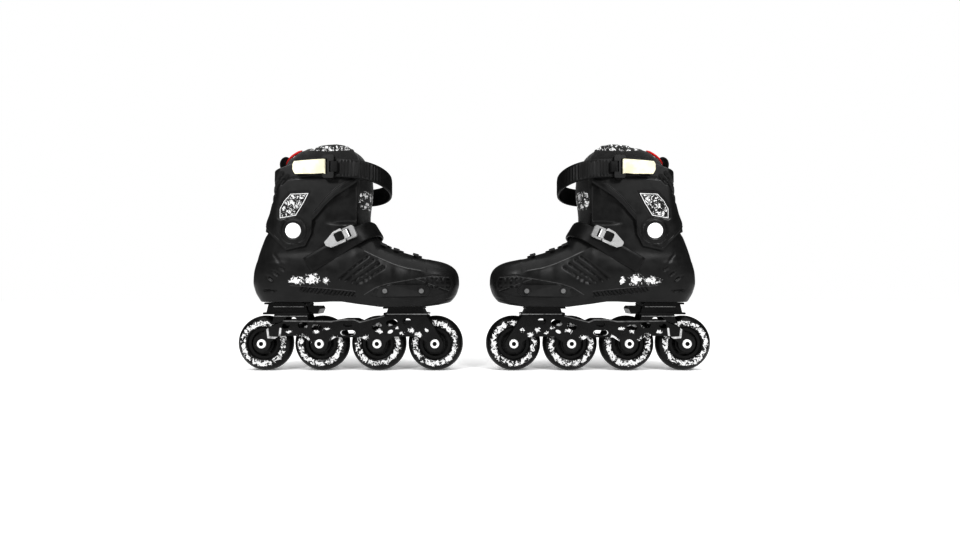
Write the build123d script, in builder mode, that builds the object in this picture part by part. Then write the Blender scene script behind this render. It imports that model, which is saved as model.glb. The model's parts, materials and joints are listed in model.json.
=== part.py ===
from build123d import *
from math import cos, radians, sin
import os

# A pair of inline skates. Every piece is drawn once, in the frame of one skate:
# +X points to the toe, -Y to the outer side with the buckles, +Z up, and the origin
# lies on the floor below the middle of the wheelbase. The finished piece is then placed
# as the right skate and mirrored about X = 0 as the left skate. All sizes are in mm.

# ---------------------------------------------------------------- driving sizes
# Pair
TOE_GAP_X = 177.0          # from the plane between the skates to the middle of a wheelbase
PAIR_SHIFT_Y = 1.487       # brings the pair's outline to the middle of the row frame

# Wheels
WHEEL_DIAMETER = 78.0
WHEEL_PITCH = 81.0
WHEEL_WIDTH = 24.0
HUB_RADIUS = 22.0
HUB_WEB = 3.0              # thickness left behind the recesses in a hub
AXLE_Z = WHEEL_DIAMETER / 2
AXLE_X = [(1.5 - index) * WHEEL_PITCH for index in range(4)]

# 608 bearings on 8 mm axles
AXLE_RADIUS = 4.0
BEARING_RADIUS = 11.0
BEARING_WIDTH = 7.0
INNER_RACE_RADIUS = 6.05
BEARING_INNER_Y = 4.9      # inner side of a bearing, from the wheel's middle plane
RUNNING_GAP = 0.08
FACE_GAP = 0.05            # between neighbouring pieces on one axle

# Frame
RAIL_INNER_Y = 14.0
RAIL_OUTER_Y = 17.0
RAIL_TOP_Z = 72.5
HEEL_SEAT_Z = 97.0         # where the boot's heel sits on its riser
BALL_SEAT_Z = 91.0         # where the ball of the foot sits on its riser
HEEL_BOLT_X = -86.0
BALL_BOLT_X = 79.0

# Boot
SHELL_WALL = 3.5
FLOOR_Z = 103.0
WING_Y = 38.4              # flat outer face of the shell inside the cuff
PIVOT_X = -68.6
PIVOT_Z = 195.0
PIVOT_PIN_RADIUS = 6.0
CUFF_INNER_Y = 39.0
CUFF_OUTER_Y = 42.0
LINER_GAP = 0.8
LINER_WALL = 7.5
THROAT_HALF = 13.0
THROAT_X = 92.0            # the throat's round end starts here
TONGUE_HALF = 21.0

# Upper buckle and its ladder strap
STRAP_Z = 266.3            # middle of the strap at x = 0, y = 0
STRAP_WIDTH = 25.0
STRAP_THICKNESS = 2.6
STRAP_RUN_Y = 46.0
BUCKLE_Z = 280.0
LEVER_PIN_X = -24.5
LEVER_PIN_Y = -50.6
PIN_RADIUS = 1.3
PIN_BORE = 1.36

# Instep buckle, drawn in a frame of its own that leans up towards the toe
INSTEP_X = -3.5
INSTEP_Z = 186.0
INSTEP_LEAN = 24.0
INSTEP_BASE_Y = 41.85      # inner face of the buckle's base
INSTEP_LEVER_Y = 47.0      # inner face of its lever
INSTEP_PIN_U = 11.0        # hinge pin of the lever, along the strap
INSTEP_PIN_OUT = INSTEP_LEVER_Y + 1.6

# Lace hooks: x, z of the vamp there, and how much the hook leans with it
HOOKS = [(50.0, 176.8, -22.0), (68.0, 169.7, -16.0), (95.0, 162.3, -15.0)]
HOOK_Y = 20.0
HOOK_LENGTH = 7.0

# Side sliders
SLIDER_SCREWS = [(57, 113), (106, 113)]

# Side view of the boot's outside, as (x, z) corners from the sole's heel end round to its toe end
BOOT_SIDE = [
    (-121, 90), (-137, 122), (-131, 168), (-114, 197), (-104, 262), (26, 262), (24, 222), (38, 207),
    (47, 178), (67, 170), (100, 161), (147, 144.5), (157, 124), (146, 94), (128, 90),
]
# Half of the foot seen from above, as (x, y) corners from heel to toe
FOOT_PLAN = [(-138, 22), (-118, 39), (-40, 41), (50, 49), (104, 47), (157, 20)]
# Half of the foot seen from the front, as (y, z) corners from the sole up
FOOT_FRONT = [(29, 88), (46, 104), (49, 126), (41, 156), (38.4, 168), (38.4, 190)]
LEG_BOTTOM_Z = 165.0       # above this the boot is as wide as its flat wings
LEG_TOP_Z = 190.0          # above this the liner is its own narrower collar
COLLAR_HALF = 34.3
COLLAR_BACK_X = -97.0
COLLAR_FRONT_X = 33.0
COLLAR_BOTTOM_Z = 185.0

# Back of the cuff: height, x of its rearmost line
CUFF_BACK = [(165.0, -121.0), (205.0, -117.0), (222.0, -110.5), (245.0, -104.5), (300.0, -101.5)]
CUFF_STRAIGHT_X = -86.0    # in front of this the cuff's sides are flat

os.makedirs("parts", exist_ok=True)


# ---------------------------------------------------------------- helpers
def write_pair(part, name):
    """Place one piece as the right skate's, mirror it for the left skate, write both."""
    right = part.moved(Location((-TOE_GAP_X, PAIR_SHIFT_Y, 0)))
    left = mirror(right, about=Plane.YZ)
    for side, placed in (("right", right), ("left", left)):
        placed.label = f"{side}_{name}"
        export_step(placed, f"parts/{placed.label}.step")


def foot_body(growth):
    """The boot below the ankle, as what its side, top and front views have in common."""
    with BuildPart() as body:
        with BuildSketch(Plane.XZ):
            with BuildLine():
                Polyline(*BOOT_SIDE, close=True)
            make_face()
            fillet(vertices(), 7.0)
            offset(amount=growth)
        extrude(amount=60, both=True)
        with BuildSketch(Plane.XY.offset(80)):
            with BuildLine():
                Polyline(*FOOT_PLAN, *[(x, -y) for x, y in reversed(FOOT_PLAN)], close=True)
            make_face()
            fillet(vertices(), 15.0)
            offset(amount=growth)
        extrude(amount=110, mode=Mode.INTERSECT)
        with BuildSketch(Plane.YZ.offset(-145)):
            with BuildLine():
                Polyline(*FOOT_FRONT, *[(-y, z) for y, z in reversed(FOOT_FRONT)], close=True)
            make_face()
            fillet(vertices().filter_by(lambda v: 95 < v.Z < 185), 9.0)
            offset(amount=growth)
        extrude(amount=310, mode=Mode.INTERSECT)
    return body.part


def leg_body(growth):
    """The boot around the ankle and shin, with flat sides."""
    with BuildPart() as body:
        with BuildSketch(Plane.XZ):
            with BuildLine():
                Polyline(*BOOT_SIDE, close=True)
            make_face()
            fillet(vertices(), 7.0)
            offset(amount=growth)
        extrude(amount=60, both=True)
        with BuildSketch(Plane.XY.offset(LEG_BOTTOM_Z)):
            with Locations((-44, 0)):
                Rectangle(178 + 2 * growth, 2 * (WING_Y + growth))
            fillet(vertices(), 26.0)
        extrude(amount=100, mode=Mode.INTERSECT)
    return body.part


def boot_body(growth):
    """The whole boot, grown outward by growth, or inward if it is negative."""
    with BuildPart() as body:
        add(foot_body(growth))
        add(leg_body(growth))
    return body.part


def collar_body(inset, top_z):
    """Padded collar of the liner, from the ankle up."""
    with BuildPart() as body:
        with BuildSketch(Plane.XY.offset(COLLAR_BOTTOM_Z)):
            with Locations(((COLLAR_BACK_X + COLLAR_FRONT_X) / 2, 0)):
                Rectangle(COLLAR_FRONT_X - COLLAR_BACK_X - 2 * inset, 2 * (COLLAR_HALF - inset))
            fillet(vertices(), 24.0)
        extrude(amount=top_z - COLLAR_BOTTOM_Z)
    return body.part


def side_band(outer_growth, inner_growth):
    """Skin that wraps the boot, between two distances from its outside."""
    with BuildPart() as skin:
        add(boot_body(outer_growth))
        add(boot_body(inner_growth), mode=Mode.SUBTRACT)
    return skin.part


def cuff_body(inset):
    """Solid inside the cuff's outer face, or inside its inner face with the wall as inset."""
    half = CUFF_OUTER_Y - inset
    with BuildPart() as body:
        for height, back in CUFF_BACK:
            depth = CUFF_STRAIGHT_X - back - inset
            with BuildSketch(Plane.XY.offset(height)):
                with BuildLine():
                    Polyline((CUFF_STRAIGHT_X, half), (40, half), (40, -half), (CUFF_STRAIGHT_X, -half))
                    EllipticalCenterArc((CUFF_STRAIGHT_X, 0), depth, half, start_angle=90, arc_size=180)
                make_face()
        loft()
    return body.part


# ---------------------------------------------------------------- wheels
for number, axle_x in enumerate(AXLE_X, start=1):
    wheel_plane = Plane((axle_x, 0, AXLE_Z), x_dir=(1, 0, 0), z_dir=(0, 0, 1))
    wheel_axis = Axis((axle_x, 0, AXLE_Z), (0, 1, 0))
    rim = HUB_RADIUS
    tread = WHEEL_DIAMETER / 2
    half_width = WHEEL_WIDTH / 2

    with BuildPart() as tyre:
        with BuildSketch(wheel_plane):
            with BuildLine():
                Polyline((rim, -9.0), (rim, 9.0), (rim + 1.5, half_width - 0.6), (rim + 3, half_width))
                Line((rim + 3, half_width), (tread - 6.5, half_width - 0.6))
                ThreePointArc((tread - 6.5, half_width - 0.6), (tread, 0), (tread - 6.5, 0.6 - half_width))
                Line((tread - 6.5, 0.6 - half_width), (rim + 3, -half_width))
                Polyline((rim + 3, -half_width), (rim + 1.5, 0.6 - half_width), (rim, -9.0))
            make_face()
        revolve(axis=wheel_axis)
    write_pair(tyre.part, f"tyre_{number}")

    with BuildPart() as hub:
        with BuildSketch(wheel_plane):
            with Locations(((BEARING_RADIUS + rim) / 2, 0)):
                Rectangle(rim - BEARING_RADIUS, 9.0)
            with Locations(((BEARING_RADIUS + 14.5) / 2, 0)):
                Rectangle(14.5 - BEARING_RADIUS, 2 * (BEARING_INNER_Y + BEARING_WIDTH))
            with Locations((rim - 2, 0)):
                Rectangle(4.0, 18.0)
            with Locations(((BEARING_RADIUS + 8.5) / 2, 0)):
                Rectangle(BEARING_RADIUS - 8.5, 2 * BEARING_INNER_Y)
        revolve(axis=wheel_axis)
        # recesses between the spokes, on both sides of a thin web
        depth = half_width - HUB_WEB / 2
        for face_y, cut in ((half_width, -depth), (-half_width, depth)):
            with BuildSketch(Plane.XZ.offset(face_y)):
                with Locations((axle_x, AXLE_Z)):
                    with PolarLocations((14.5 + rim - 4.0) / 2, 8):
                        SlotOverall(8.6, 3.2, rotation=90)
            extrude(amount=cut, mode=Mode.SUBTRACT)
    write_pair(hub.part, f"hub_{number}")

    with BuildPart() as bearings:
        with BuildSketch(wheel_plane):
            for side in (-1, 1):
                middle_y = side * (BEARING_INNER_Y + BEARING_WIDTH / 2)
                race = BEARING_RADIUS - 9.4
                shield = 9.4 - INNER_RACE_RADIUS - RUNNING_GAP
                with Locations((BEARING_RADIUS - race / 2, middle_y)):
                    Rectangle(race, BEARING_WIDTH)
                with Locations((9.4 - shield / 2, middle_y)):
                    Rectangle(shield, BEARING_WIDTH - 1.2)
        revolve(axis=wheel_axis)
    write_pair(bearings.part, f"bearings_{number}")

# ---------------------------------------------------------------- axles
with BuildPart() as axles:
    for axle_x in AXLE_X:
        axle_plane = Plane((axle_x, 0, AXLE_Z), x_dir=(1, 0, 0), z_dir=(0, 0, 1))
        with BuildSketch(axle_plane):
            head_y = RAIL_OUTER_Y + FACE_GAP
            with BuildLine():
                Polyline(
                    (0, -head_y - 3.0), (5.4, -head_y - 3.0), (6.4, -head_y - 2.0), (6.4, -head_y),
                    (AXLE_RADIUS, -head_y), (AXLE_RADIUS, head_y), (6.4, head_y),
                    (6.4, head_y + 2.0), (5.4, head_y + 3.0), (0, head_y + 3.0), close=True,
                )
            make_face()
            race_end = BEARING_INNER_Y + BEARING_WIDTH + FACE_GAP
            bore = AXLE_RADIUS + FACE_GAP
            wall = INNER_RACE_RADIUS - bore
            for side in (-1, 1):
                with Locations((bore + wall / 2, side * (BEARING_INNER_Y + race_end) / 2)):
                    Rectangle(wall, race_end - BEARING_INNER_Y)
            with Locations((bore + wall / 2, 0)):
                Rectangle(wall, 2 * (BEARING_INNER_Y - FACE_GAP))
        revolve(axis=Axis((axle_x, 0, AXLE_Z), (0, 1, 0)))
        for plane in (Plane.XZ.offset(head_y + 3.0), Plane.XZ.offset(-head_y - 0.8)):
            with BuildSketch(plane):
                with Locations((axle_x, AXLE_Z)):
                    RegularPolygon(3.0, 6)
            extrude(amount=-2.2, mode=Mode.SUBTRACT)
write_pair(axles.part, "axles")

# ---------------------------------------------------------------- frame
with BuildPart() as frame:
    with BuildSketch(Plane.XZ.offset(RAIL_OUTER_Y)):
        with BuildLine():
            Polyline(
                (-131.5, 46.0), (-108.0, 65.0), (-90.0, RAIL_TOP_Z), (-22.0, 71.5), (-9.0, 74.0),
                (8.0, 74.0), (16.0, 70.5), (52.0, 80.0), (110.0, 80.0), (131.5, 46.5), (110.0, 41.0),
                (98.0, 49.0), (64.0, 49.0), (51.5, 40.0), (30.0, 40.0), (18.0, 48.0), (-18.0, 48.0),
                (-30.0, 40.0), (-51.5, 40.0), (-64.0, 50.0), (-98.0, 50.0), (-110.0, 40.5),
                close=True,
            )
        make_face()
        fillet(vertices().filter_by(lambda v: abs(v.X) < 105 and v.Z < 60), 7.0)
        with Locations(*[(x, AXLE_Z) for x in AXLE_X]):
            Circle(12.0)
    extrude(amount=RAIL_INNER_Y - RAIL_OUTER_Y)
    outer_edges = edges().filter_by(GeomType.LINE).group_by(Axis.Y)[0]
    chamfer(outer_edges.filter_by(lambda e: e.center().Z > 60), 1.4)
    with BuildSketch(Plane.XZ.offset(RAIL_OUTER_Y)):
        for x, z, length, height, turn in [
            (-88.0, 64.0, 11.0, 7.0, 10.0),
            (-64.0, 65.0, 14.0, 8.0, 0.0),
            (-45.0, 62.0, 15.0, 7.5, 0.0),
            (-0.5, 66.0, 13.0, 6.0, 0.0),
            (40.0, 63.5, 14.0, 7.5, 25.0),
            (61.0, 68.5, 16.0, 8.0, 12.0),
            (82.0, 70.5, 12.0, 8.0, 0.0),
            (-0.5, 54.5, 19.0, 7.0, 0.0),
        ]:
            with Locations((x, z)):
                SlotOverall(length, height, rotation=turn)
    extrude(amount=RAIL_INNER_Y - RAIL_OUTER_Y, mode=Mode.SUBTRACT)
    # bosses that the inner races bear on
    boss_y = BEARING_INNER_Y + BEARING_WIDTH + 2 * FACE_GAP
    with BuildSketch(Plane.XZ.offset(boss_y)):
        with Locations(*[(x, AXLE_Z) for x in AXLE_X]):
            Circle(INNER_RACE_RADIUS)
    extrude(amount=RAIL_INNER_Y - boss_y)
    # inner web that carries the heel riser
    with BuildSketch(Plane.XZ.offset(RAIL_INNER_Y)):
        with BuildLine():
            Polyline((-108, 68), (-104, 82), (-60, 82), (-56, 70), close=True)
        make_face()
        with Locations((-82, 72)):
            SlotOverall(18, 9, mode=Mode.SUBTRACT)
    extrude(amount=1.5)
    mirror(about=Plane.XZ)
    # bridges between the wheels
    for bridge_x in (-WHEEL_PITCH, 0, WHEEL_PITCH):
        with BuildSketch(Plane.XZ):
            with Locations((bridge_x, 67.5)):
                Rectangle(16.0, 6.0)
            fillet(vertices(), 2.0)
        extrude(amount=RAIL_INNER_Y + 0.5, both=True)
    # heel and ball risers: a core between two thin flanges
    for points, half in (
        ([(-115, 82.5), (-112, 95), (-60, 95), (-57, 82.5)], 17.5),
        ([(-118, 80.5), (-118, 83), (-55, 83), (-53, 80.5)], 22.0),
        ([(-116.5, 94.5), (-115.5, HEEL_SEAT_Z), (-62, HEEL_SEAT_Z), (-60, 94.5)], 22.0),
        ([(-58, 81), (-58, 92), (-43, 92), (-41, 88), (-44, 81)], 14.0),
        ([(54, 82.5), (56, 89), (104, 89), (107, 82.5)], 17.5),
        ([(50, 79.5), (50, 82.5), (112, 82.5), (112, 79.5)], 20.0),
        ([(49, 88.5), (50, BALL_SEAT_Z), (104, BALL_SEAT_Z), (106, 88.5)], 21.0),
    ):
        with BuildSketch(Plane.XZ):
            with BuildLine():
                Polyline(*points, close=True)
            make_face()
        extrude(amount=half, both=True)
    # bores for the axles and the mounting bolts
    with BuildSketch(Plane.XZ.offset(RAIL_OUTER_Y + 1)):
        with Locations(*[(x, AXLE_Z) for x in AXLE_X]):
            Circle(AXLE_RADIUS + 0.03)
    extrude(amount=-2 * (RAIL_OUTER_Y + 1), mode=Mode.SUBTRACT)
    with BuildSketch(Plane.XY.offset(79)):
        with Locations((HEEL_BOLT_X, 0), (BALL_BOLT_X, 0)):
            Circle(AXLE_RADIUS + 0.03)
    extrude(amount=20, mode=Mode.SUBTRACT)
write_pair(frame.part, "frame")

with BuildPart() as frame_bolts:
    for bolt_x, tip_z in ((HEEL_BOLT_X, 85.0), (BALL_BOLT_X, 83.0)):
        with BuildSketch(Plane.XY.offset(tip_z)):
            with Locations((bolt_x, 0)):
                Circle(AXLE_RADIUS)
        extrude(amount=FLOOR_Z - 3.5 - tip_z)
        with BuildSketch(Plane.XY.offset(FLOOR_Z - 3.5)):
            with Locations((bolt_x, 0)):
                Circle(7.0)
                RegularPolygon(3.4, 6, mode=Mode.SUBTRACT)
        extrude(amount=3.2)
write_pair(frame_bolts.part, "frame_bolts")

# ---------------------------------------------------------------- boot shell
with BuildPart() as boot_inside:
    add(boot_body(-SHELL_WALL))
    split(bisect_by=Plane.XY.offset(FLOOR_Z), keep=Keep.TOP)
with BuildPart() as boot_shell:
    add(boot_body(0.0))
    add(boot_inside.part, mode=Mode.SUBTRACT)
    # open the top, the front above the instep, and the underside below heel and arch
    with BuildSketch(Plane.XZ):
        with BuildLine():
            Polyline(
                (-150, 193), (-112, 193), (-103, 186), (-90, 177), (-86, 181), (-86, 203), (-78, 214),
                (-66, 217), (-50, 219), (-44, 241), (-20, 251), (12, 256), (15, 216), (33, 199), (60, 197),
                (60, 290), (-150, 290), close=True,
            )
        make_face()
        with BuildLine():
            Polyline(
                (-150, 80), (-150, HEEL_SEAT_Z), (-45, HEEL_SEAT_Z), (-22, 98.5), (-6, 98.5),
                (18, 95), (48, BALL_SEAT_Z), (112, BALL_SEAT_Z), (135, 93.0), (160, 102.0), (160, 80),
                close=True,
            )
        make_face()
    extrude(amount=70, both=True, mode=Mode.SUBTRACT)
    # throat between the eyelet flaps
    with BuildSketch(Plane.XY.offset(135)):
        with BuildLine():
            Polyline(
                (THROAT_X, THROAT_HALF), (40, THROAT_HALF + 3), (0, 24), (0, -24),
                (40, -THROAT_HALF - 3), (THROAT_X, -THROAT_HALF),
            )
            ThreePointArc(
                (THROAT_X, -THROAT_HALF), (THROAT_X + THROAT_HALF, 0), (THROAT_X, THROAT_HALF),
            )
        make_face()
    extrude(amount=80, mode=Mode.SUBTRACT)
    # bores for the pivot pins and the counterbored mounting bolts
    with BuildSketch(Plane.XZ.offset(60)):
        with Locations((PIVOT_X, PIVOT_Z)):
            Circle(PIVOT_PIN_RADIUS + 0.02)
    extrude(amount=-120, mode=Mode.SUBTRACT)
    with Locations(*[(x, 0, FLOOR_Z) for x in (HEEL_BOLT_X, BALL_BOLT_X)]):
        CounterBoreHole(AXLE_RADIUS + 0.03, 7.2, 3.5)
write_pair(boot_shell.part, "boot_shell")

# ---------------------------------------------------------------- liner and tongue
liner_inset = SHELL_WALL + LINER_GAP
with BuildPart() as liner_outside:
    add(boot_body(-liner_inset))
    split(bisect_by=Plane.XY.offset(FLOOR_Z + LINER_GAP), keep=Keep.TOP)
    split(bisect_by=Plane.XY.offset(LEG_TOP_Z), keep=Keep.BOTTOM)
    add(collar_body(0.0, 330))
with BuildPart() as liner_inside:
    add(boot_body(-liner_inset - LINER_WALL))
    split(bisect_by=Plane.XY.offset(FLOOR_Z + LINER_WALL), keep=Keep.TOP)
    split(bisect_by=Plane.XY.offset(LEG_TOP_Z), keep=Keep.BOTTOM)
    add(collar_body(LINER_WALL, 345))


def tongue_region(half):
    """Column over the instep that the tongue fills, between the liner's front edges."""
    with BuildPart() as region:
        with BuildSketch(Plane.XY.offset(138)):
            with BuildLine():
                Polyline((95, half), (-12, half), (-12, -half), (95, -half))
                ThreePointArc((95, -half), (95 + half * 0.6, 0), (95, half))
            make_face()
        extrude(amount=210)
    return region.part


def collar_trim():
    """Everything above the domed top edge of the liner and tongue."""
    with BuildPart() as trim:
        with BuildSketch(Plane.XZ):
            with BuildLine():
                ThreePointArc((-99, 288), (-22, 326.5), (24, 301))
                Polyline((24, 301), (60, 290), (60, 360), (-130, 360), (-130, 284), (-99, 288))
            make_face()
        extrude(amount=70, both=True)
    return trim.part


with BuildPart() as liner:
    add(liner_outside.part)
    add(liner_inside.part, mode=Mode.SUBTRACT)
    add(tongue_region(TONGUE_HALF + 0.3), mode=Mode.SUBTRACT)
    add(collar_trim(), mode=Mode.SUBTRACT)
write_pair(liner.part, "liner")

with BuildPart() as tongue:
    add(liner_outside.part)
    add(tongue_region(TONGUE_HALF), mode=Mode.INTERSECT)
    add(liner_inside.part, mode=Mode.SUBTRACT)
    add(collar_trim(), mode=Mode.SUBTRACT)
write_pair(tongue.part, "tongue")

# ---------------------------------------------------------------- cuff
with BuildPart() as cuff:
    add(cuff_body(0.0))
    add(cuff_body(CUFF_OUTER_Y - CUFF_INNER_Y), mode=Mode.SUBTRACT)
    with BuildSketch(Plane.XZ):
        with BuildLine():
            Polyline(
                (-130, 206), (-117, 203), (-105, 194), (-91, 184), (-80, 173), (-57, 173), (-43, 192),
                (-43, 209),
            )
            Spline((-43, 209), (-25, 230), (12, 258))
            Polyline(
                (12, 258), (16, 262), (8, 273), (-20, 286), (-66, 290), (-92, 278), (-130, 282),
                (-130, 206),
            )
        make_face()
    extrude(amount=60, both=True, mode=Mode.INTERSECT)
    with BuildSketch(Plane.XZ.offset(60)):
        with Locations((PIVOT_X, PIVOT_Z)):
            Circle(PIVOT_PIN_RADIUS + RUNNING_GAP)
        for slot_z in (240.0, 252.0, 264.0):
            with Locations((-93.0, slot_z)):
                SlotOverall(13.0, 3.4, rotation=38)
    extrude(amount=-120, mode=Mode.SUBTRACT)
write_pair(cuff.part, "cuff")

with BuildPart() as cuff_pivots:
    with BuildSketch(Plane((PIVOT_X, 0, PIVOT_Z), x_dir=(1, 0, 0), z_dir=(0, 0, 1))):
        with BuildLine():
            cap_y = CUFF_OUTER_Y + 0.3
            flange_y = WING_Y - SHELL_WALL
            Polyline(
                (0, -cap_y - 2.6), (9.5, -cap_y - 2.2), (10.6, -cap_y - 1.2), (10.6, -cap_y),
                (PIVOT_PIN_RADIUS, -cap_y), (PIVOT_PIN_RADIUS, -flange_y), (0, -flange_y), close=True,
            )
        make_face()
    revolve(axis=Axis((PIVOT_X, 0, PIVOT_Z), (0, 1, 0)))
    mirror(about=Plane.XZ)
write_pair(cuff_pivots.part, "cuff_pivots")

# ---------------------------------------------------------------- ladder strap and upper buckle
with BuildPart() as cuff_strap:
    with BuildSketch(Plane.XY.offset(220)):
        with BuildLine():
            medial_y = CUFF_OUTER_Y + FACE_GAP + STRAP_THICKNESS / 2
            Line((-48, -STRAP_RUN_Y), (8, -STRAP_RUN_Y))
            ThreePointArc((8, -STRAP_RUN_Y), (56.5, -1), (8, medial_y))
            Line((8, medial_y), (-34, medial_y))
        trace(line_width=STRAP_THICKNESS)
    extrude(amount=100)
    # the strap slopes down from the buckle to its fixing on the inner side
    with BuildSketch(Plane((0, 0, STRAP_Z), x_dir=(1, 0, -0.04), z_dir=(0.04, 0.28, 1))):
        Rectangle(260, 260)
    extrude(amount=STRAP_WIDTH / 2, both=True, mode=Mode.INTERSECT)
write_pair(cuff_strap.part, "cuff_strap")

strap_inner_y = STRAP_RUN_Y - STRAP_THICKNESS / 2 - 0.3
strap_outer_y = STRAP_RUN_Y + STRAP_THICKNESS / 2 + 0.3
with BuildPart() as cuff_buckle_base:
    # plate on the cuff, below the strap
    with BuildSketch(Plane.XZ.offset(CUFF_OUTER_Y + FACE_GAP)):
        with Locations((-36, BUCKLE_Z)):
            RectangleRounded(56, 22, 4)
    extrude(amount=strap_inner_y - CUFF_OUTER_Y - FACE_GAP)
    # receiver that the strap passes through, with ears for the lever
    with BuildSketch(Plane.XZ.offset(CUFF_OUTER_Y + FACE_GAP)):
        with Locations((-18.5, BUCKLE_Z)):
            Rectangle(15, 31)
        fillet(vertices(), 2.5)
    extrude(amount=10.6)
    with BuildSketch(Plane.YZ.offset(-40)):
        with Locations((-(strap_inner_y + strap_outer_y) / 2, BUCKLE_Z)):
            Rectangle(strap_outer_y - strap_inner_y, STRAP_WIDTH + 2.0)
    extrude(amount=50, mode=Mode.SUBTRACT)
    # pocket for the lever's knuckle
    with BuildSketch(Plane.XZ.offset(strap_outer_y)):
        with Locations((LEVER_PIN_X, BUCKLE_Z)):
            Rectangle(9.0, 20.4)
    extrude(amount=12, mode=Mode.SUBTRACT)
    with BuildSketch(Plane.XY.offset(BUCKLE_Z - 12)):
        with Locations((LEVER_PIN_X, LEVER_PIN_Y)):
            Circle(PIN_RADIUS)
    extrude(amount=24)
    # slot for the release latch
    with BuildSketch(Plane.XZ.offset(strap_outer_y + 0.8)):
        with Locations((-13.0, BUCKLE_Z)):
            Rectangle(8.0, 14.6)
    extrude(amount=8, mode=Mode.SUBTRACT)
    with BuildSketch(Plane.XY.offset(BUCKLE_Z - 8.5)):
        with Locations((-14.4, LEVER_PIN_Y)):
            Circle(1.0)
    extrude(amount=17)
write_pair(cuff_buckle_base.part, "cuff_buckle_base")

with BuildPart() as cuff_buckle_lever:
    with BuildSketch(Plane.XY.offset(BUCKLE_Z - 10)):
        with Locations((LEVER_PIN_X, LEVER_PIN_Y)):
            Circle(2.3)
        with BuildLine():
            Polyline(
                (LEVER_PIN_X, LEVER_PIN_Y - 2.3), (-46, -53.6), (-66, -52.6), (-67, -50.4), (-46, -51.0),
                (LEVER_PIN_X, LEVER_PIN_Y + 0.6), close=True,
            )
        make_face()
    extrude(amount=20)
    with BuildSketch(Plane.XZ.offset(40)):
        with BuildLine():
            Polyline(
                (-20, 291), (-26, 290), (-64, 287), (-68, 279), (-62, 268), (-26, 271), (-20, 269),
                close=True,
            )
        make_face()
    extrude(amount=20, mode=Mode.INTERSECT)
    with BuildSketch(Plane.XY.offset(BUCKLE_Z - 12)):
        with Locations((LEVER_PIN_X, LEVER_PIN_Y)):
            Circle(PIN_BORE)
    extrude(amount=24, mode=Mode.SUBTRACT)
write_pair(cuff_buckle_lever.part, "cuff_buckle_lever")

with BuildPart() as cuff_buckle_latch:
    with BuildSketch(Plane.XY.offset(BUCKLE_Z - 7)):
        with Locations((-14.4, LEVER_PIN_Y)):
            Circle(2.0)
        with BuildLine():
            Polyline(
                (-14.4, LEVER_PIN_Y - 2.0), (-7, LEVER_PIN_Y - 1.2), (-5.5, LEVER_PIN_Y + 0.4),
                (-7, LEVER_PIN_Y + 0.8), (-14.4, LEVER_PIN_Y + 0.6), close=True,
            )
        make_face()
    extrude(amount=14)
    with BuildSketch(Plane.XY.offset(BUCKLE_Z - 8)):
        with Locations((-14.4, LEVER_PIN_Y)):
            Circle(1.06)
    extrude(amount=16, mode=Mode.SUBTRACT)
write_pair(cuff_buckle_latch.part, "cuff_buckle_latch")

# ---------------------------------------------------------------- instep strap and buckle
with BuildPart() as instep_strap:
    add(side_band(3.4, 0.3))
    with BuildSketch(Plane.XZ):
        with BuildLine():
            Spline((-62, 152), (-22, 187), (28, 211))
            Polyline((28, 211), (60, 209), (60, 187), (34, 184))
            Spline((34, 184), (4, 170), (-40, 142))
            Line((-40, 142), (-62, 152))
        make_face()
    extrude(amount=80, both=True, mode=Mode.INTERSECT)
write_pair(instep_strap.part, "instep_strap")

# The buckle's own frame: +X along the strap towards the toe, +Y up across it, +Z outward.
lean = radians(INSTEP_LEAN)
instep_frame = Plane((INSTEP_X, 0, INSTEP_Z), x_dir=(cos(lean), 0, sin(lean)), z_dir=(0, -1, 0))


def pin_plane(start):
    """Plane across the lever's pin, start mm up along it."""
    middle = instep_frame.from_local_coords((INSTEP_PIN_U, start, INSTEP_PIN_OUT))
    return Plane(middle, z_dir=instep_frame.y_dir)


with BuildPart() as instep_buckle_base:
    with BuildSketch(instep_frame.offset(INSTEP_BASE_Y)):
        with Locations((4, 0)):
            RectangleRounded(36, 17, 3)
    extrude(amount=2.6)
    with BuildSketch(instep_frame.offset(INSTEP_BASE_Y)):
        with Locations((14.5, 0)):
            Rectangle(15, 17)
        fillet(vertices().group_by(Axis.X)[-1], 3.0)
    extrude(amount=8.0)
    with BuildSketch(instep_frame.offset(INSTEP_BASE_Y + 2.6)):
        with Locations((INSTEP_PIN_U - 0.5, 0)):
            Rectangle(9.0, 11.4)
    extrude(amount=10, mode=Mode.SUBTRACT)
    with BuildSketch(pin_plane(-7.0)):
        Circle(PIN_RADIUS)
    extrude(amount=14)
write_pair(instep_buckle_base.part, "instep_buckle_base")

with BuildPart() as instep_buckle_lever:
    with BuildSketch(instep_frame.offset(INSTEP_LEVER_Y)):
        with BuildLine():
            Polyline(
                (6.0, 10.5), (-6.0, 9.5), (-22.5, 1.5), (-22.0, -4.0), (-16.5, -8.8), (6.0, -9.4),
                close=True,
            )
        make_face()
        fillet(vertices(), 2.4)
        with Locations((8, 0)):
            Rectangle(8.0, 11.0)
    extrude(amount=3.2)
    with BuildSketch(pin_plane(-5.5)):
        Circle(2.2)
    extrude(amount=11)
    with BuildSketch(pin_plane(-7.0)):
        Circle(PIN_BORE)
    extrude(amount=14, mode=Mode.SUBTRACT)
    with BuildSketch(instep_frame.offset(INSTEP_LEVER_Y - 1)):
        with Locations((-0.5, 0.8)):
            RectangleRounded(12.4, 12.4, 2.4)
    extrude(amount=6, mode=Mode.SUBTRACT)
write_pair(instep_buckle_lever.part, "instep_buckle_lever")

with BuildPart() as instep_release:
    with BuildSketch(instep_frame.offset(INSTEP_LEVER_Y + 0.2)):
        with Locations((-0.5, 0.8)):
            RectangleRounded(11.8, 11.8, 2.2)
    extrude(amount=3.6)
    fillet(edges().group_by(Axis.Y)[0], 0.8)
write_pair(instep_release.part, "instep_release")

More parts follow.
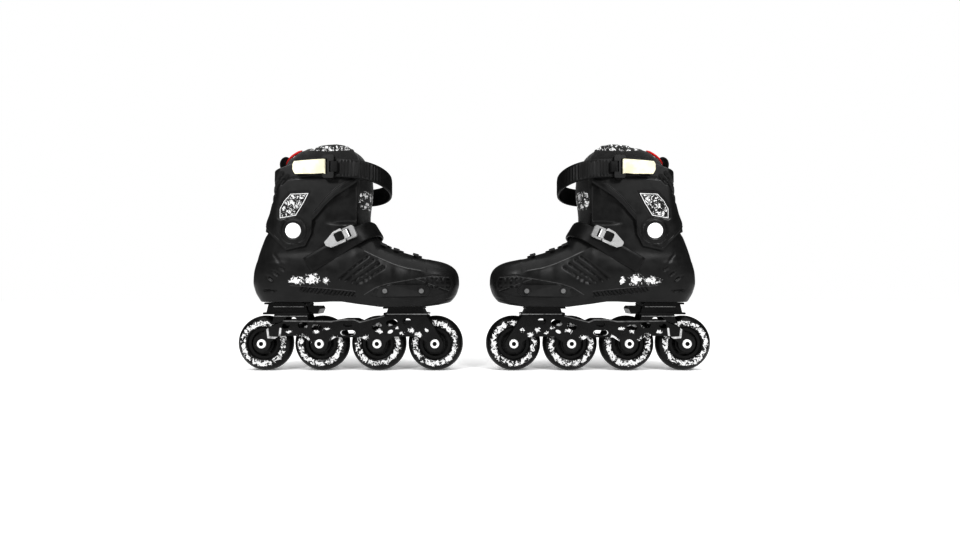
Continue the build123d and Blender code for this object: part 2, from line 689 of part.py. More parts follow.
# ---------------------------------------------------------------- lace hooks
with BuildPart() as lace_hooks:
    for hook_x, hook_z, hook_lean in HOOKS:
        for outward in (-1, 1):
            along = (cos(radians(hook_lean)) * -outward, 0, sin(radians(hook_lean)) * -outward)
            hook_plane = Plane((hook_x, outward * HOOK_Y, hook_z), x_dir=(0, outward, 0), z_dir=along)
            with BuildSketch(hook_plane.offset(-HOOK_LENGTH / 2)):
                with BuildLine():
                    Polyline(
                        (-4, -3), (5, -3), (7.5, 1.5), (6, 5.4), (1, 5.8), (1, 4.4), (5, 3.9), (5.6, 1.6),
                        (4.4, 1.0), (-4, 1.4), close=True,
                    )
                make_face()
            extrude(amount=HOOK_LENGTH)
    add(boot_body(0.0), mode=Mode.SUBTRACT)
write_pair(lace_hooks.part, "lace_hooks")

# ---------------------------------------------------------------- side sliders and their screws
with BuildPart() as slider_pads:
    add(side_band(1.9, 0.1))
    with BuildSketch(Plane.XZ):
        with BuildLine():
            Polyline((44, 105), (50, 118), (70, 121), (112, 121), (118, 113), (112, 106), close=True)
        make_face()
        fillet(vertices(), 3)
        with Locations(*SLIDER_SCREWS):
            Circle(4.5, mode=Mode.SUBTRACT)
    extrude(amount=80, both=True, mode=Mode.INTERSECT)
with BuildPart() as slider_screws:
    add(side_band(2.8, 0.1))
    with BuildSketch(Plane.XZ):
        with Locations(*SLIDER_SCREWS):
            Circle(4.2)
    extrude(amount=80, both=True, mode=Mode.INTERSECT)
with BuildPart() as side_sliders:
    add(slider_pads.part)
    add(slider_screws.part)
write_pair(side_sliders.part, "side_sliders")
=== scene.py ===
"""A pair of inline skates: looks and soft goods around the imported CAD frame."""
import json
import math

import bpy
import numpy as np
from mathutils import Matrix, Vector


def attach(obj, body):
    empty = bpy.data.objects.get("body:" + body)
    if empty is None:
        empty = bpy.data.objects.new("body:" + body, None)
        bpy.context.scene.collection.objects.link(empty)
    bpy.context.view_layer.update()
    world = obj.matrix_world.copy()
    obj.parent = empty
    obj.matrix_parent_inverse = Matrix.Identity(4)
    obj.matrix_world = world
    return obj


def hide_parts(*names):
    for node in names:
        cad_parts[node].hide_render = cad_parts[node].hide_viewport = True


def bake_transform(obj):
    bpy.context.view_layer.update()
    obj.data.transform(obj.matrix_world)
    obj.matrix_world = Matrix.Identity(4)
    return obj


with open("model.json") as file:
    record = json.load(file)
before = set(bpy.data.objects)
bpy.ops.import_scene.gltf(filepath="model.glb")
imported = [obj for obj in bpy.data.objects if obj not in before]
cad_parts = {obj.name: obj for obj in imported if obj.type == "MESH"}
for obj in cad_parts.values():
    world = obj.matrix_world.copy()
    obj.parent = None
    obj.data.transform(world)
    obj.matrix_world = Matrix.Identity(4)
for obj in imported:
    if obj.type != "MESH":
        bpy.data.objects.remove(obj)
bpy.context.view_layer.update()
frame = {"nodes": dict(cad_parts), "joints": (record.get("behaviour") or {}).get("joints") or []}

MM = 0.001
JOINTS = {joint["name"]: joint for joint in frame["joints"]}
SIDES = ("right", "left")


# ---------------------------------------------------------------- frame of one skate
class Skate:
    """The frame of one skate, in mm: x to the toe, y away from the buckles, z up from the floor."""

    def __init__(self, side):
        self.side = side
        toe = np.array(JOINTS[f"{side}_wheel_1_spin"]["pos_m"])
        heel = np.array(JOINTS[f"{side}_wheel_4_spin"]["pos_m"])
        self.x_dir = (toe - heel) / np.linalg.norm(toe - heel)
        self.flip = side == "left"
        up = np.array([0.0, 0.0, 1.0])
        self.y_dir = np.cross(up, self.x_dir) * (-1 if self.flip else 1)
        self.origin = (toe + heel) / 2
        self.origin[2] = 0.0

    def world(self, points):
        """Skate points in mm, as an (n, 3) array, in the row frame in metres."""
        p = np.asarray(points, float).reshape(-1, 3) * MM
        up = np.array([0.0, 0.0, 1.0])
        return self.origin + p[:, :1] * self.x_dir + p[:, 1:2] * self.y_dir + p[:, 2:] * up

    def node(self, name):
        return f"{self.side}_{name}"


def new_mesh(skate, name, points, faces, smooth=True):
    """Mesh object from skate points in mm, with faces turned outward on both skates."""
    mesh = bpy.data.meshes.new(name)
    if skate.flip:
        faces = [tuple(reversed(face)) for face in faces]
    mesh.from_pydata([tuple(v) for v in skate.world(points)], [], faces)
    mesh.update()
    for polygon in mesh.polygons:
        polygon.use_smooth = smooth
    obj = bpy.data.objects.new(name, mesh)
    bpy.context.scene.collection.objects.link(obj)
    return obj


def grid_faces(rows, columns, closed=False, start=0):
    """Quads of a grid whose points run along the columns of each row."""
    faces = []
    last = columns if closed else columns - 1
    for row in range(rows - 1):
        for column in range(last):
            a = start + row * columns + column
            b = start + row * columns + (column + 1) % columns
            faces.append((a, b, b + columns, a + columns))
    return faces


def apply_modifiers(obj):
    """Replace the object's mesh with its modified shape."""
    graph = bpy.context.evaluated_depsgraph_get()
    mesh = bpy.data.meshes.new_from_object(obj.evaluated_get(graph))
    obj.modifiers.clear()
    obj.data = mesh


def merged(obj, distance=0.00002):
    """Weld points that coincide, as at the poles of a grid."""
    modifier = obj.modifiers.new("weld", "WELD")
    modifier.merge_threshold = distance
    apply_modifiers(obj)


def thicken(obj, wall, bevel=0.0006):
    """Give a skin its wall, inward, with a small round along its rim."""
    modifier = obj.modifiers.new("wall", "SOLIDIFY")
    modifier.thickness = wall * MM
    modifier.offset = -1.0
    modifier.use_even_offset = False
    apply_modifiers(obj)
    if bevel:
        rounding = obj.modifiers.new("rim", "BEVEL")
        rounding.width = bevel
        rounding.segments = 2
        rounding.limit_method = "ANGLE"
        rounding.angle_limit = math.radians(55)
        apply_modifiers(obj)


def piecewise(value, knots):
    """Smooth curve through (position, value) knots, with flat ends."""
    xs = np.array([k[0] for k in knots], float)
    ys = np.array([k[1] for k in knots], float)
    slopes = np.zeros(len(xs))
    step = np.diff(ys) / np.diff(xs)
    for i in range(1, len(xs) - 1):
        if step[i - 1] * step[i] > 0:
            slopes[i] = 2 / (1 / step[i - 1] + 1 / step[i])
    slopes[0], slopes[-1] = step[0], step[-1]
    v = np.clip(np.asarray(value, float), xs[0], xs[-1])
    i = np.clip(np.searchsorted(xs, v, side="right") - 1, 0, len(xs) - 2)
    h = xs[i + 1] - xs[i]
    t = (v - xs[i]) / h
    a = (1 + 2 * t) * (1 - t) ** 2
    b = t * (1 - t) ** 2
    c = t * t * (3 - 2 * t)
    d = t * t * (t - 1)
    return a * ys[i] + b * h * slopes[i] + c * ys[i + 1] + d * h * slopes[i + 1]


def linear(value, knots):
    """Straight lines through (position, value) knots."""
    return np.interp(value, [k[0] for k in knots], [k[1] for k in knots])


def smoothstep(value, low, high):
    t = np.clip((np.asarray(value, float) - low) / (high - low), 0, 1)
    return t * t * (3 - 2 * t)


def line_distance(x, z, start, end):
    """Distance in the side view from points to a straight stroke."""
    (x0, z0), (x1, z1) = start, end
    dx, dz = x1 - x0, z1 - z0
    t = np.clip(((x - x0) * dx + (z - z0) * dz) / (dx * dx + dz * dz), 0, 1)
    return np.hypot(x - x0 - t * dx, z - z0 - t * dz)


def path_distance(x, z, points):
    """Distance in the side view from points to a chain of strokes."""
    return np.min([line_distance(x, z, a, b) for a, b in zip(points, points[1:])], axis=0)


def inside_polygon(x, z, corners):
    """True where a side-view point lies in the polygon."""
    inside = np.zeros(np.shape(x), bool)
    for (x0, z0), (x1, z1) in zip(corners, corners[1:] + corners[:1]):
        crosses = (z0 > z) != (z1 > z)
        at = x0 + (z - z0) * (x1 - x0) / (z1 - z0 if z1 != z0 else 1e-9)
        inside ^= crosses & (x < at)
    return inside


def groove(distance, half_width, depth):
    """Rounded groove, as a height below the surface."""
    return -depth * (1 - smoothstep(distance, half_width * 0.35, half_width))


# ---------------------------------------------------------------- materials
def material(name):
    made = bpy.data.materials.new(name)
    made.use_nodes = True
    made.node_tree.nodes.clear()
    return made, Nodes(made.node_tree)


class Nodes:
    """Short forms for building a shader's node tree."""

    def __init__(self, tree):
        self.tree = tree
        self.coordinates = None

    def new(self, kind, inputs=(), **settings):
        node = self.tree.nodes.new(kind)
        for key, value in settings.items():
            setattr(node, key, value)
        for socket, value in dict(inputs).items():
            if isinstance(value, bpy.types.NodeSocket):
                self.tree.links.new(value, node.inputs[socket])
            else:
                node.inputs[socket].default_value = value
        return node

    def position(self):
        """Row-frame position of the shaded point on its piece, in metres."""
        if self.coordinates is None:
            self.coordinates = self.new("ShaderNodeTexCoord").outputs["Object"]
        return self.coordinates

    def math(self, operation, a, b=0.0, c=None, clamp=False):
        inputs = {0: a, 1: b}
        if c is not None:
            inputs[2] = c
        return self.new("ShaderNodeMath", inputs, operation=operation, use_clamp=clamp).outputs[0]

    def noise(self, scale, detail=3.0, roughness=0.55, vector=None, distortion=0.0):
        source = self.position() if vector is None else vector
        node = self.new(
            "ShaderNodeTexNoise",
            {"Vector": source, "Scale": scale, "Detail": detail, "Roughness": roughness, "Distortion": distortion},
        )
        return node.outputs["Fac"]

    def ramp(self, value, low, high, to_low=0.0, to_high=1.0):
        node = self.new(
            "ShaderNodeMapRange",
            {"Value": value, "From Min": low, "From Max": high, "To Min": to_low, "To Max": to_high},
            interpolation_type="SMOOTHSTEP",
        )
        return node.outputs[0]

    def mix(self, factor, a, b):
        node = self.new("ShaderNodeMix", data_type="RGBA")
        for socket, value in ((0, factor), (6, a), (7, b)):
            if isinstance(value, bpy.types.NodeSocket):
                self.tree.links.new(value, node.inputs[socket])
            else:
                node.inputs[socket].default_value = value
        return node.outputs[2]

    def bump(self, height, strength, distance, normal=None):
        inputs = {"Height": height, "Strength": strength, "Distance": distance}
        if normal is not None:
            inputs["Normal"] = normal
        return self.new("ShaderNodeBump", inputs).outputs[0]

    def skate_axes(self, skate):
        """(x, y, z) of the shaded point in the skate's own frame, in mm."""
        shifted = self.new(
            "ShaderNodeVectorMath", {0: self.position(), 1: tuple(skate.origin)}, operation="SUBTRACT"
        ).outputs[0]
        values = []
        for direction in (skate.x_dir, skate.y_dir, (0, 0, 1)):
            dot = self.new("ShaderNodeVectorMath", {0: shifted, 1: tuple(direction)}, operation="DOT_PRODUCT")
            values.append(self.math("MULTIPLY", dot.outputs["Value"], 1000.0))
        return values

    def ellipse(self, x, z, centre, radii, turn=0.0):
        """Below 1 inside an ellipse in the side view."""
        c, s = math.cos(math.radians(turn)), math.sin(math.radians(turn))
        dx = self.math("SUBTRACT", x, centre[0])
        dz = self.math("SUBTRACT", z, centre[1])
        u = self.math("ADD", self.math("MULTIPLY", dx, c / radii[0]), self.math("MULTIPLY", dz, s / radii[0]))
        w = self.math("ADD", self.math("MULTIPLY", dx, -s / radii[1]), self.math("MULTIPLY", dz, c / radii[1]))
        return self.math("SQRT", self.math("ADD", self.math("MULTIPLY", u, u), self.math("MULTIPLY", w, w)))

    def polygon(self, x, z, corners):
        """Distance in mm from the nearest side of a convex polygon given anticlockwise, positive inside."""
        nearest = None
        for (x0, z0), (x1, z1) in zip(corners, corners[1:] + corners[:1]):
            length = math.hypot(x1 - x0, z1 - z0)
            nx, nz = (z0 - z1) / length, (x1 - x0) / length
            along_x = self.math("MULTIPLY", self.math("SUBTRACT", x, x0), nx)
            along_z = self.math("MULTIPLY", self.math("SUBTRACT", z, z0), nz)
            side = self.math("ADD", along_x, along_z)
            nearest = side if nearest is None else self.math("MINIMUM", nearest, side)
        return nearest

    def stroke(self, x, z, start, end):
        """Distance in mm, in the side view, from a straight stroke."""
        (x0, z0), (x1, z1) = start, end
        dx, dz = x1 - x0, z1 - z0
        square = dx * dx + dz * dz
        from_x, from_z = self.math("SUBTRACT", x, x0), self.math("SUBTRACT", z, z0)
        along = self.math("ADD", self.math("MULTIPLY", from_x, dx / square), self.math("MULTIPLY", from_z, dz / square))
        along = self.math("MINIMUM", self.math("MAXIMUM", along, 0.0), 1.0)
        off_x = self.math("SUBTRACT", from_x, self.math("MULTIPLY", along, dx))
        off_z = self.math("SUBTRACT", from_z, self.math("MULTIPLY", along, dz))
        square_sum = self.math("ADD", self.math("MULTIPLY", off_x, off_x), self.math("MULTIPLY", off_z, off_z))
        return self.math("SQRT", square_sum)

    def scrawl(self, scale, weight=0.5):
        """Abstract angular brush marks: warped cells parted by thin gaps, with some cells left out."""
        warp = self.new("ShaderNodeTexNoise", {"Vector": self.position(), "Scale": scale * 0.9, "Detail": 3.0})
        pull = self.new("ShaderNodeVectorMath", {0: warp.outputs["Color"], 1: (0.012, 0.012, 0.012)}, operation="MULTIPLY")
        moved = self.new("ShaderNodeVectorMath", {0: self.position(), 1: pull.outputs[0]}, operation="ADD").outputs[0]
        cells = self.new("ShaderNodeTexVoronoi", {"Vector": moved, "Scale": scale}, feature="DISTANCE_TO_EDGE")
        gaps = self.ramp(cells.outputs["Distance"], 0.07, 0.11)
        split = self.new("ShaderNodeTexVoronoi", {"Vector": moved, "Scale": scale * 2.3}, feature="DISTANCE_TO_EDGE")
        cuts = self.ramp(split.outputs["Distance"], 0.035, 0.06)
        kept = self.ramp(self.noise(scale * 1.4, 3.0, 0.6), weight + 0.02, weight - 0.02)
        return self.math("MULTIPLY", self.math("MULTIPLY", gaps, cuts), kept)

    def surface(self, color, roughness, normal=None, **constants):
        inputs = {"Base Color": color, "Roughness": roughness}
        if normal is not None:
            inputs["Normal"] = normal
        shader = self.new("ShaderNodeBsdfPrincipled", inputs)
        shader.inputs["Specular IOR Level"].default_value = 0.22
        for socket, value in constants.items():
            shader.inputs[socket.replace("_", " ")].default_value = value
        out = self.new("ShaderNodeOutputMaterial")
        self.tree.links.new(shader.outputs[0], out.inputs["Surface"])
        return shader


def grey(value, tint=(1.0, 1.0, 1.0)):
    return (value * tint[0], value * tint[1], value * tint[2], 1.0)


def moulded_plastic(name, color, roughness, grain=2600.0, depth=0.00006, **constants):
    """Satin moulded plastic: fine grain, cloudy gloss and slightly paler worn patches."""
    made, n = material(name)
    cloud = n.noise(38.0, 4.0)
    base = n.mix(n.ramp(cloud, 0.35, 0.7), color, tuple(min(1.0, c * 1.5) for c in color[:3]) + (1.0,))
    rough = n.ramp(n.noise(90.0, 3.0), 0.3, 0.7, roughness - 0.06, roughness + 0.08)
    height = n.noise(grain, 2.0)
    n.surface(base, rough, n.bump(height, 0.35, depth), **constants)
    return made


def brushed_metal(name, color, roughness, streak=(1.0, 1.0, 18.0)):
    """Metal with fine brushed streaks and a little tarnish."""
    made, n = material(name)
    stretched = n.new("ShaderNodeMapping", {"Vector": n.position(), "Scale": streak}).outputs[0]
    streaks = n.noise(420.0, 3.0, vector=stretched)
    base = n.mix(n.ramp(streaks, 0.3, 0.7), color, tuple(c * 0.8 for c in color[:3]) + (1.0,))
    rough = n.ramp(streaks, 0.25, 0.75, roughness - 0.07, roughness + 0.1)
    n.surface(base, rough, n.bump(streaks, 0.12, 0.00005), Metallic=1.0)
    return made


def printed(name, skate, color, roughness, marks, ink=0.62, panel=None, bold=(), lines=()):
    """Moulded plastic with pale marks on its outer side, in the side view.

    marks are ragged blobs as (centre, radii, turn), bold ones are the same with a clean edge,
    panel is a framed polygon filled with abstract brush marks, and lines are strokes as
    (points, half width in mm, grey): painted highlights along edges where the grey is pale
    (one pale stroke is a printed mark), painted shade in grooves where it is dark.
    """
    made, n = material(name)
    x, y, z = n.skate_axes(skate)
    ragged = n.ramp(n.noise(260.0, 6.0, 0.7, distortion=0.8), 0.3, 0.7, -0.75, 0.75)
    mask = n.math("MULTIPLY", x, 0.0)
    for centre, radii, turn in marks:
        inside = n.ellipse(x, z, centre, radii, turn)
        blot = n.ramp(n.math("ADD", inside, ragged), 0.86, 0.78)
        mask = n.math("MAXIMUM", mask, blot)
    for centre, radii, turn in bold:
        mask = n.math("MAXIMUM", mask, n.ramp(n.ellipse(x, z, centre, radii, turn), 1.0, 0.9))
    if panel:
        depth = n.polygon(x, z, panel)
        frame_line = n.math("MULTIPLY", n.ramp(depth, 0.5, 0.9), n.ramp(depth, 1.9, 1.5))
        filled = n.math("MULTIPLY", n.ramp(depth, 2.2, 2.8), n.scrawl(150.0, 0.56))
        mask = n.math("MAXIMUM", mask, n.math("MAXIMUM", frame_line, filled))
    outer = n.ramp(y, -10.0, -14.0)
    mask = n.math("MULTIPLY", mask, outer)
    cloud = n.noise(38.0, 4.0)
    base = n.mix(n.ramp(cloud, 0.35, 0.7), color, tuple(min(1.0, c * 1.5) for c in color[:3]) + (1.0,))
    worn = n.ramp(n.noise(700.0, 4.0), 0.2, 0.5, ink * 0.75, ink)
    paint = n.new("ShaderNodeCombineColor", {0: worn, 1: worn, 2: worn}).outputs[0]
    rough = n.ramp(n.noise(90.0, 3.0), 0.3, 0.7, roughness - 0.06, roughness + 0.08)
    patchy = n.ramp(n.noise(160.0, 3.0), 0.25, 0.6, 0.35, 1.0)
    # painted light: each stroke mixes the colour towards its grey, a painted highlight along an edge where pale,
    # painted shade in a groove where dark
    for points, half_width, shade in lines:
        for start, end in zip(points, points[1:]):
            fade = n.ramp(n.stroke(x, z, start, end), half_width, half_width * 0.5)
            fade = n.math("MULTIPLY", n.math("MULTIPLY", fade, patchy), outer)
            base = n.mix(fade, base, grey(shade))
    n.surface(n.mix(mask, base, paint), rough, n.bump(n.noise(2600.0, 2.0), 0.35, 0.00006))
    return made


def splatter_ring(name, centre, axis, color, face_y, roughness):
    """Wheel material with a ragged pale splatter ring on its side faces, out from face_y mm."""
    made, n = material(name)
    shifted = n.new("ShaderNodeVectorMath", {0: n.position(), 1: tuple(centre)}, operation="SUBTRACT").outputs[0]
    along = n.new("ShaderNodeVectorMath", {0: shifted, 1: tuple(axis)}, operation="DOT_PRODUCT").outputs["Value"]
    length = n.new("ShaderNodeVectorMath", {0: shifted}, operation="LENGTH").outputs["Value"]
    radius = n.math("SQRT", n.math("SUBTRACT", n.math("MULTIPLY", length, length), n.math("MULTIPLY", along, along)))
    r_mm = n.math("MULTIPLY", radius, 1000.0)
    side = n.ramp(n.math("ABSOLUTE", along), face_y * 0.001 - 0.001, face_y * 0.001)
    from_middle = n.math("ABSOLUTE", n.math("SUBTRACT", r_mm, 28.5))
    ring = n.ramp(from_middle, 7.4, 1.6)
    coarse = n.noise(130.0, 3.0, 0.6, distortion=1.6)
    fine = n.noise(520.0, 4.0, 0.75)
    blots = n.math("ADD", n.math("MULTIPLY", coarse, 0.6), n.math("MULTIPLY", fine, 0.4))
    level = n.math("ADD", blots, n.math("MULTIPLY", n.math("SUBTRACT", ring, 1.0), 0.2))
    mask = n.math("MULTIPLY", n.ramp(level, 0.47, 0.49), side)
    dust = n.ramp(n.noise(60.0, 3.0), 0.3, 0.8)
    base = n.mix(dust, color, tuple(c * 2.0 for c in color[:3]) + (1.0,))
    rough = n.ramp(n.noise(120.0, 3.0), 0.3, 0.7, roughness - 0.06, roughness + 0.08)
    n.surface(n.mix(mask, base, grey(0.62)), rough, n.bump(n.noise(900.0, 2.0), 0.15, 0.00005))
    return made


def axle_material(name, skate, centres):
    """Bright axle heads, with painted shade in their hexagon sockets."""
    made, n = material(name)
    x, _, z = n.skate_axes(skate)
    nearest = None
    for centre in centres:
        away = n.ellipse(x, z, centre, (1.0, 1.0))
        nearest = away if nearest is None else n.math("MINIMUM", nearest, away)
    # painted shade: the colour goes near black inside the sockets' radius, where the recess is in shade
    socket = n.ramp(nearest, 3.3, 2.7)
    stretched = n.new("ShaderNodeMapping", {"Vector": n.position(), "Scale": (1.0, 1.0, 14.0)}).outputs[0]
    streaks = n.noise(420.0, 3.0, vector=stretched)
    base = n.mix(n.ramp(streaks, 0.3, 0.7), grey(0.86), grey(0.7))
    rough = n.ramp(streaks, 0.25, 0.75, 0.3, 0.42)
    n.surface(n.mix(socket, base, grey(0.01)), rough, n.bump(streaks, 0.12, 0.00005), Metallic=0.35)
    return made


REST_PLACE = "rest_place"


def keep_rest_place(obj):
    """Store each point's place at rest, so that a print bends with its pad."""
    places = np.zeros(len(obj.data.vertices) * 3, np.float32)
    obj.data.vertices.foreach_get("co", places)
    stored = obj.data.attributes.new(REST_PLACE, "FLOAT_VECTOR", "POINT")
    stored.data.foreach_set("vector", places)


def fabric_material(name, skate, marks=(), color=grey(0.012), ink=0.6):
    """Woven padded fabric with sheen, and an abstract pale print where marks says."""
    made, n = material(name)
    n.coordinates = n.new("ShaderNodeAttribute", attribute_name=REST_PLACE).outputs["Vector"]
    x, y, z = n.skate_axes(skate)
    weave_a = n.math("SINE", n.math("MULTIPLY", n.math("ADD", x, z), 5.2))
    weave_b = n.math("SINE", n.math("MULTIPLY", n.math("SUBTRACT", x, n.math("ADD", z, y)), 5.2))
    weave = n.math("MULTIPLY", weave_a, weave_b)
    fuzz = n.noise(1400.0, 3.0)
    base = n.mix(n.ramp(n.noise(45.0, 4.0), 0.3, 0.7), color, tuple(c * 1.9 for c in color[:3]) + (1.0,))
    if marks:
        mask = None
        for centre, radii, turn in marks:
            blot = n.ramp(n.ellipse(x, z, centre, radii, turn), 1.0, 0.94)
            mask = blot if mask is None else n.math("MAXIMUM", mask, blot)
        mask = n.math("MULTIPLY", mask, n.scrawl(120.0, 0.53))
        base = n.mix(mask, base, grey(ink))
    height = n.math("ADD", n.math("MULTIPLY", weave, 0.5), fuzz)
    n.surface(base, n.ramp(fuzz, 0.2, 0.8, 0.72, 0.9), n.bump(height, 0.5, 0.00025), Sheen_Weight=0.25)
    return made


def assign(obj, *materials):
    """Put the materials on a piece or a CAD node, in place of what it has."""
    obj.data.materials.clear()
    for made in materials:
        obj.data.materials.append(made)


# ---------------------------------------------------------------- boot shell
SOLE_Z = [(-136, 97.5), (-40, 97.5), (-22, 98.5), (-6, 98.5), (18, 95), (48, 91.2), (112, 91.2), (135, 93.5), (152, 98)]
HEEL_FAN_X = -86.0
TOE_FAN_X = 92.0
HEEL_BACK = [(90, -120), (98, -126), (112, -133), (125, -136), (138, -135), (150, -132), (161, -129.2), (170, -126.2),
             (178, -123), (187, -119), (194, -114.5), (205, -111)]
TOE_FRONT = [(91, 128), (98, 143), (112, 152.5), (124, 155), (138, 150.5)]
HEEL_HALF = [(90, 31), (99, 34.5), (112, 37.5), (125, 39), (140, 40), (155, 39.6), (168, 38.3), (210, 38.2)]
WAIST_HALF = [(90, 29), (99, 33), (112, 38), (125, 41), (140, 42.5), (155, 41), (168, 38.6), (176, 38.2), (270, 38.2)]
BALL_HALF = [(90, 41), (99, 45.5), (112, 48.5), (122, 49.2)]
FRONT_HALF = [(90, 34), (99, 39), (112, 42.5), (122, 43.2)]
CROWN_Z = [(15, 214), (28, 206), (40, 190), (48, 180), (67, 171.5), (97, 162.5), (128, 151.5), (142, 146)]
WIDEST_Z = 122.0
PANEL_BASE_Z = 203.0


def shell_half_width(x, z):
    """Half width of the shell's walls, for x between the heel's and the toe's fans."""
    heel = piecewise(z, HEEL_HALF)
    waist = piecewise(z, WAIST_HALF)
    ball = piecewise(z, BALL_HALF)
    front = piecewise(z, FRONT_HALF)
    knots = np.stack([heel, waist, waist + 0.55 * (ball - waist), ball, front])
    stations = np.array([HEEL_FAN_X, -20.0, 20.0, 65.0, TOE_FAN_X])
    x = np.clip(x, stations[0], stations[-1])
    i = np.clip(np.searchsorted(stations, x, side="right") - 1, 0, 3)
    t = (x - stations[i]) / (stations[i + 1] - stations[i])
    t = t * t * (3 - 2 * t)
    columns = np.arange(knots.shape[1]) if knots.ndim > 1 else 0
    return knots[i, columns] * (1 - t) + knots[i + 1, columns] * t


def superellipse(angle, a, b, power):
    """Radius at an angle from the a axis."""
    c, s = np.abs(np.cos(angle)), np.abs(np.sin(angle))
    return 1.0 / ((c / a) ** power + (s / b) ** power) ** (1 / power)


def rim_height(x):
    """Top of the shell's wall, apart from the side panel."""
    return linear(x, [(-140, 193), (-112, 194), (-100, 199), (-86, PANEL_BASE_Z), (-50, PANEL_BASE_Z), (16, PANEL_BASE_Z),
                      (28, 199), (40, 188), (48, 178.5)])


def shell_column(kind, where, rows_bottom=6, rows_low=26, rows_high=42):
    """Points of one profile of the shell, from the middle of the sole up to its rim or throat."""
    if kind == "heel":
        centre, direction = np.array([HEEL_FAN_X, 0.0]), np.array([-math.sin(where), -math.cos(where)])
    elif kind == "toe":
        centre, direction = np.array([TOE_FAN_X, 0.0]), np.array([math.sin(where), -math.cos(where)])
    else:
        centre, direction = np.array([where, 0.0]), np.array([0.0, -1.0])

    def reach(z):
        z = np.asarray(z, float)
        if kind == "heel":
            back = HEEL_FAN_X - piecewise(z, HEEL_BACK)
            return superellipse(where, piecewise(z, HEEL_HALF), back, 2.25)
        if kind == "toe":
            front = piecewise(z, TOE_FRONT) - TOE_FAN_X
            return superellipse(where, piecewise(z, FRONT_HALF), front, 2.15)
        return shell_half_width(np.full(z.shape, where), z)

    edge_x = centre[0] + direction[0] * float(reach(np.array([100.0]))[0])
    sole = float(linear(edge_x, SOLE_Z))
    radii, heights = [], []
    edge = float(reach(np.array([sole + 1.5]))[0])
    for t in np.linspace(0, 1, rows_bottom, endpoint=False):
        radii.append(t * (edge - 2.0))
        heights.append(sole)
    low = np.concatenate([[0.25, 0.8], np.linspace(1.8, WIDEST_Z - sole, rows_low)]) + sole
    reached = reach(np.maximum(low, 90.0))
    round_edge = 2.0 * (1 - np.sqrt(np.clip(1 - (1 - np.clip((low - sole) / 2.0, 0, 1)) ** 2, 0, 1)))
    radii.extend(reached - round_edge)
    heights.extend(low)
    widest = float(reach(np.array([WIDEST_Z]))[0])
    t = np.linspace(0, 1, rows_high + 1)[1:]
    crown = float(piecewise(centre[0] + direction[0] * 20.0, CROWN_Z)) if kind != "heel" else 0.0
    throat = 12.5 + 3.5 * float(smoothstep(where, 60, 20)) if kind == "side" else 12.5
    power = 2.7
    angle_end = math.acos(min(1.0, (throat / widest) ** (power / 2)))
    angle = t * angle_end
    dome_r = widest * np.cos(angle) ** (2 / power)
    crown_here = crown if kind == "side" else float(piecewise(TOE_FAN_X + math.sin(where) * 22.0, CROWN_Z))
    dome_z = WIDEST_Z + (crown_here - WIDEST_Z) * np.sin(angle) ** (2 / power)
    if kind == "toe":
        # the toe's top is rounder towards its front
        dome_z = WIDEST_Z + (crown_here + 1.0 - WIDEST_Z) * np.sin(angle) ** (2 / (power + 0.4 * math.sin(where)))
    top = float(rim_height(centre[0] + direction[0] * 40.0)) if kind == "heel" else float(rim_height(where if kind == "side" else 99))
    wall_z = WIDEST_Z + (top - WIDEST_Z) * t
    wall_r = reach(wall_z)
    if kind == "heel":
        share = 0.0
    elif kind == "toe":
        share = 1.0
    else:
        share = float(smoothstep(where, 8, 46))
        inward = smoothstep(where, -2, 45) * smoothstep(t, 0.45, 1.0)
        wall_r = wall_r * (1 - inward) + 24.0 * inward
    radii.extend(share * dome_r + (1 - share) * wall_r)
    heights.extend(share * dome_z + (1 - share) * wall_z)
    radii, heights = np.array(radii), np.array(heights)
    return np.column_stack([centre[0] + direction[0] * radii, direction[1] * radii, heights])


VAMP_SEAM = [(14, 176), (38, 163), (60, 153.5), (80, 147), (98, 142.5), (112, 139.5)]
RIB_LINES = [((-6, 130.5), (31.5, 160)), ((3, 128), (39.5, 155.5)), ((12, 125.5), (47.5, 150.5)), ((20, 123), (55, 145.5))]
TOE_PANEL = [(99, 129), (120, 133.5), (141, 131.5), (146, 124), (142, 113.5)]
SLIDER_PANEL = [(36, 108), (44, 116.5), (60, 121.5), (96, 128.5), (112, 124), (141, 113), (120, 106.5), (60, 106)]
RAND = [(-62, 119.5), (-20, 115.0), (16, 111.5), (16, 105.0), (-20, 107.5), (-60, 111.5)]
TOE_DIMPLES = [(x, z) for x in (112, 119, 126, 133, 140) for z in (118.5, 124, 129.5) if z < 133 and x - 104 > (131 - z) * 0.9]
SLIDER_SCREW_X = (57.0, 106.0)
SLIDER_SCREW_Z = 113.0
HEEL_SLOT = ((-110, 114.5), (-97, 112.8))
HEEL_VENTS = [((-103, 131.5), (-99, 128.6)), ((-95, 138.5), (-91, 135.6)), ((-87, 145.5), (-83, 142.6))]
VENT_LINES = [((-108, 134), (-97, 127)), ((-101, 142), (-88, 134.5)), ((-97, 164), (-81, 142))]


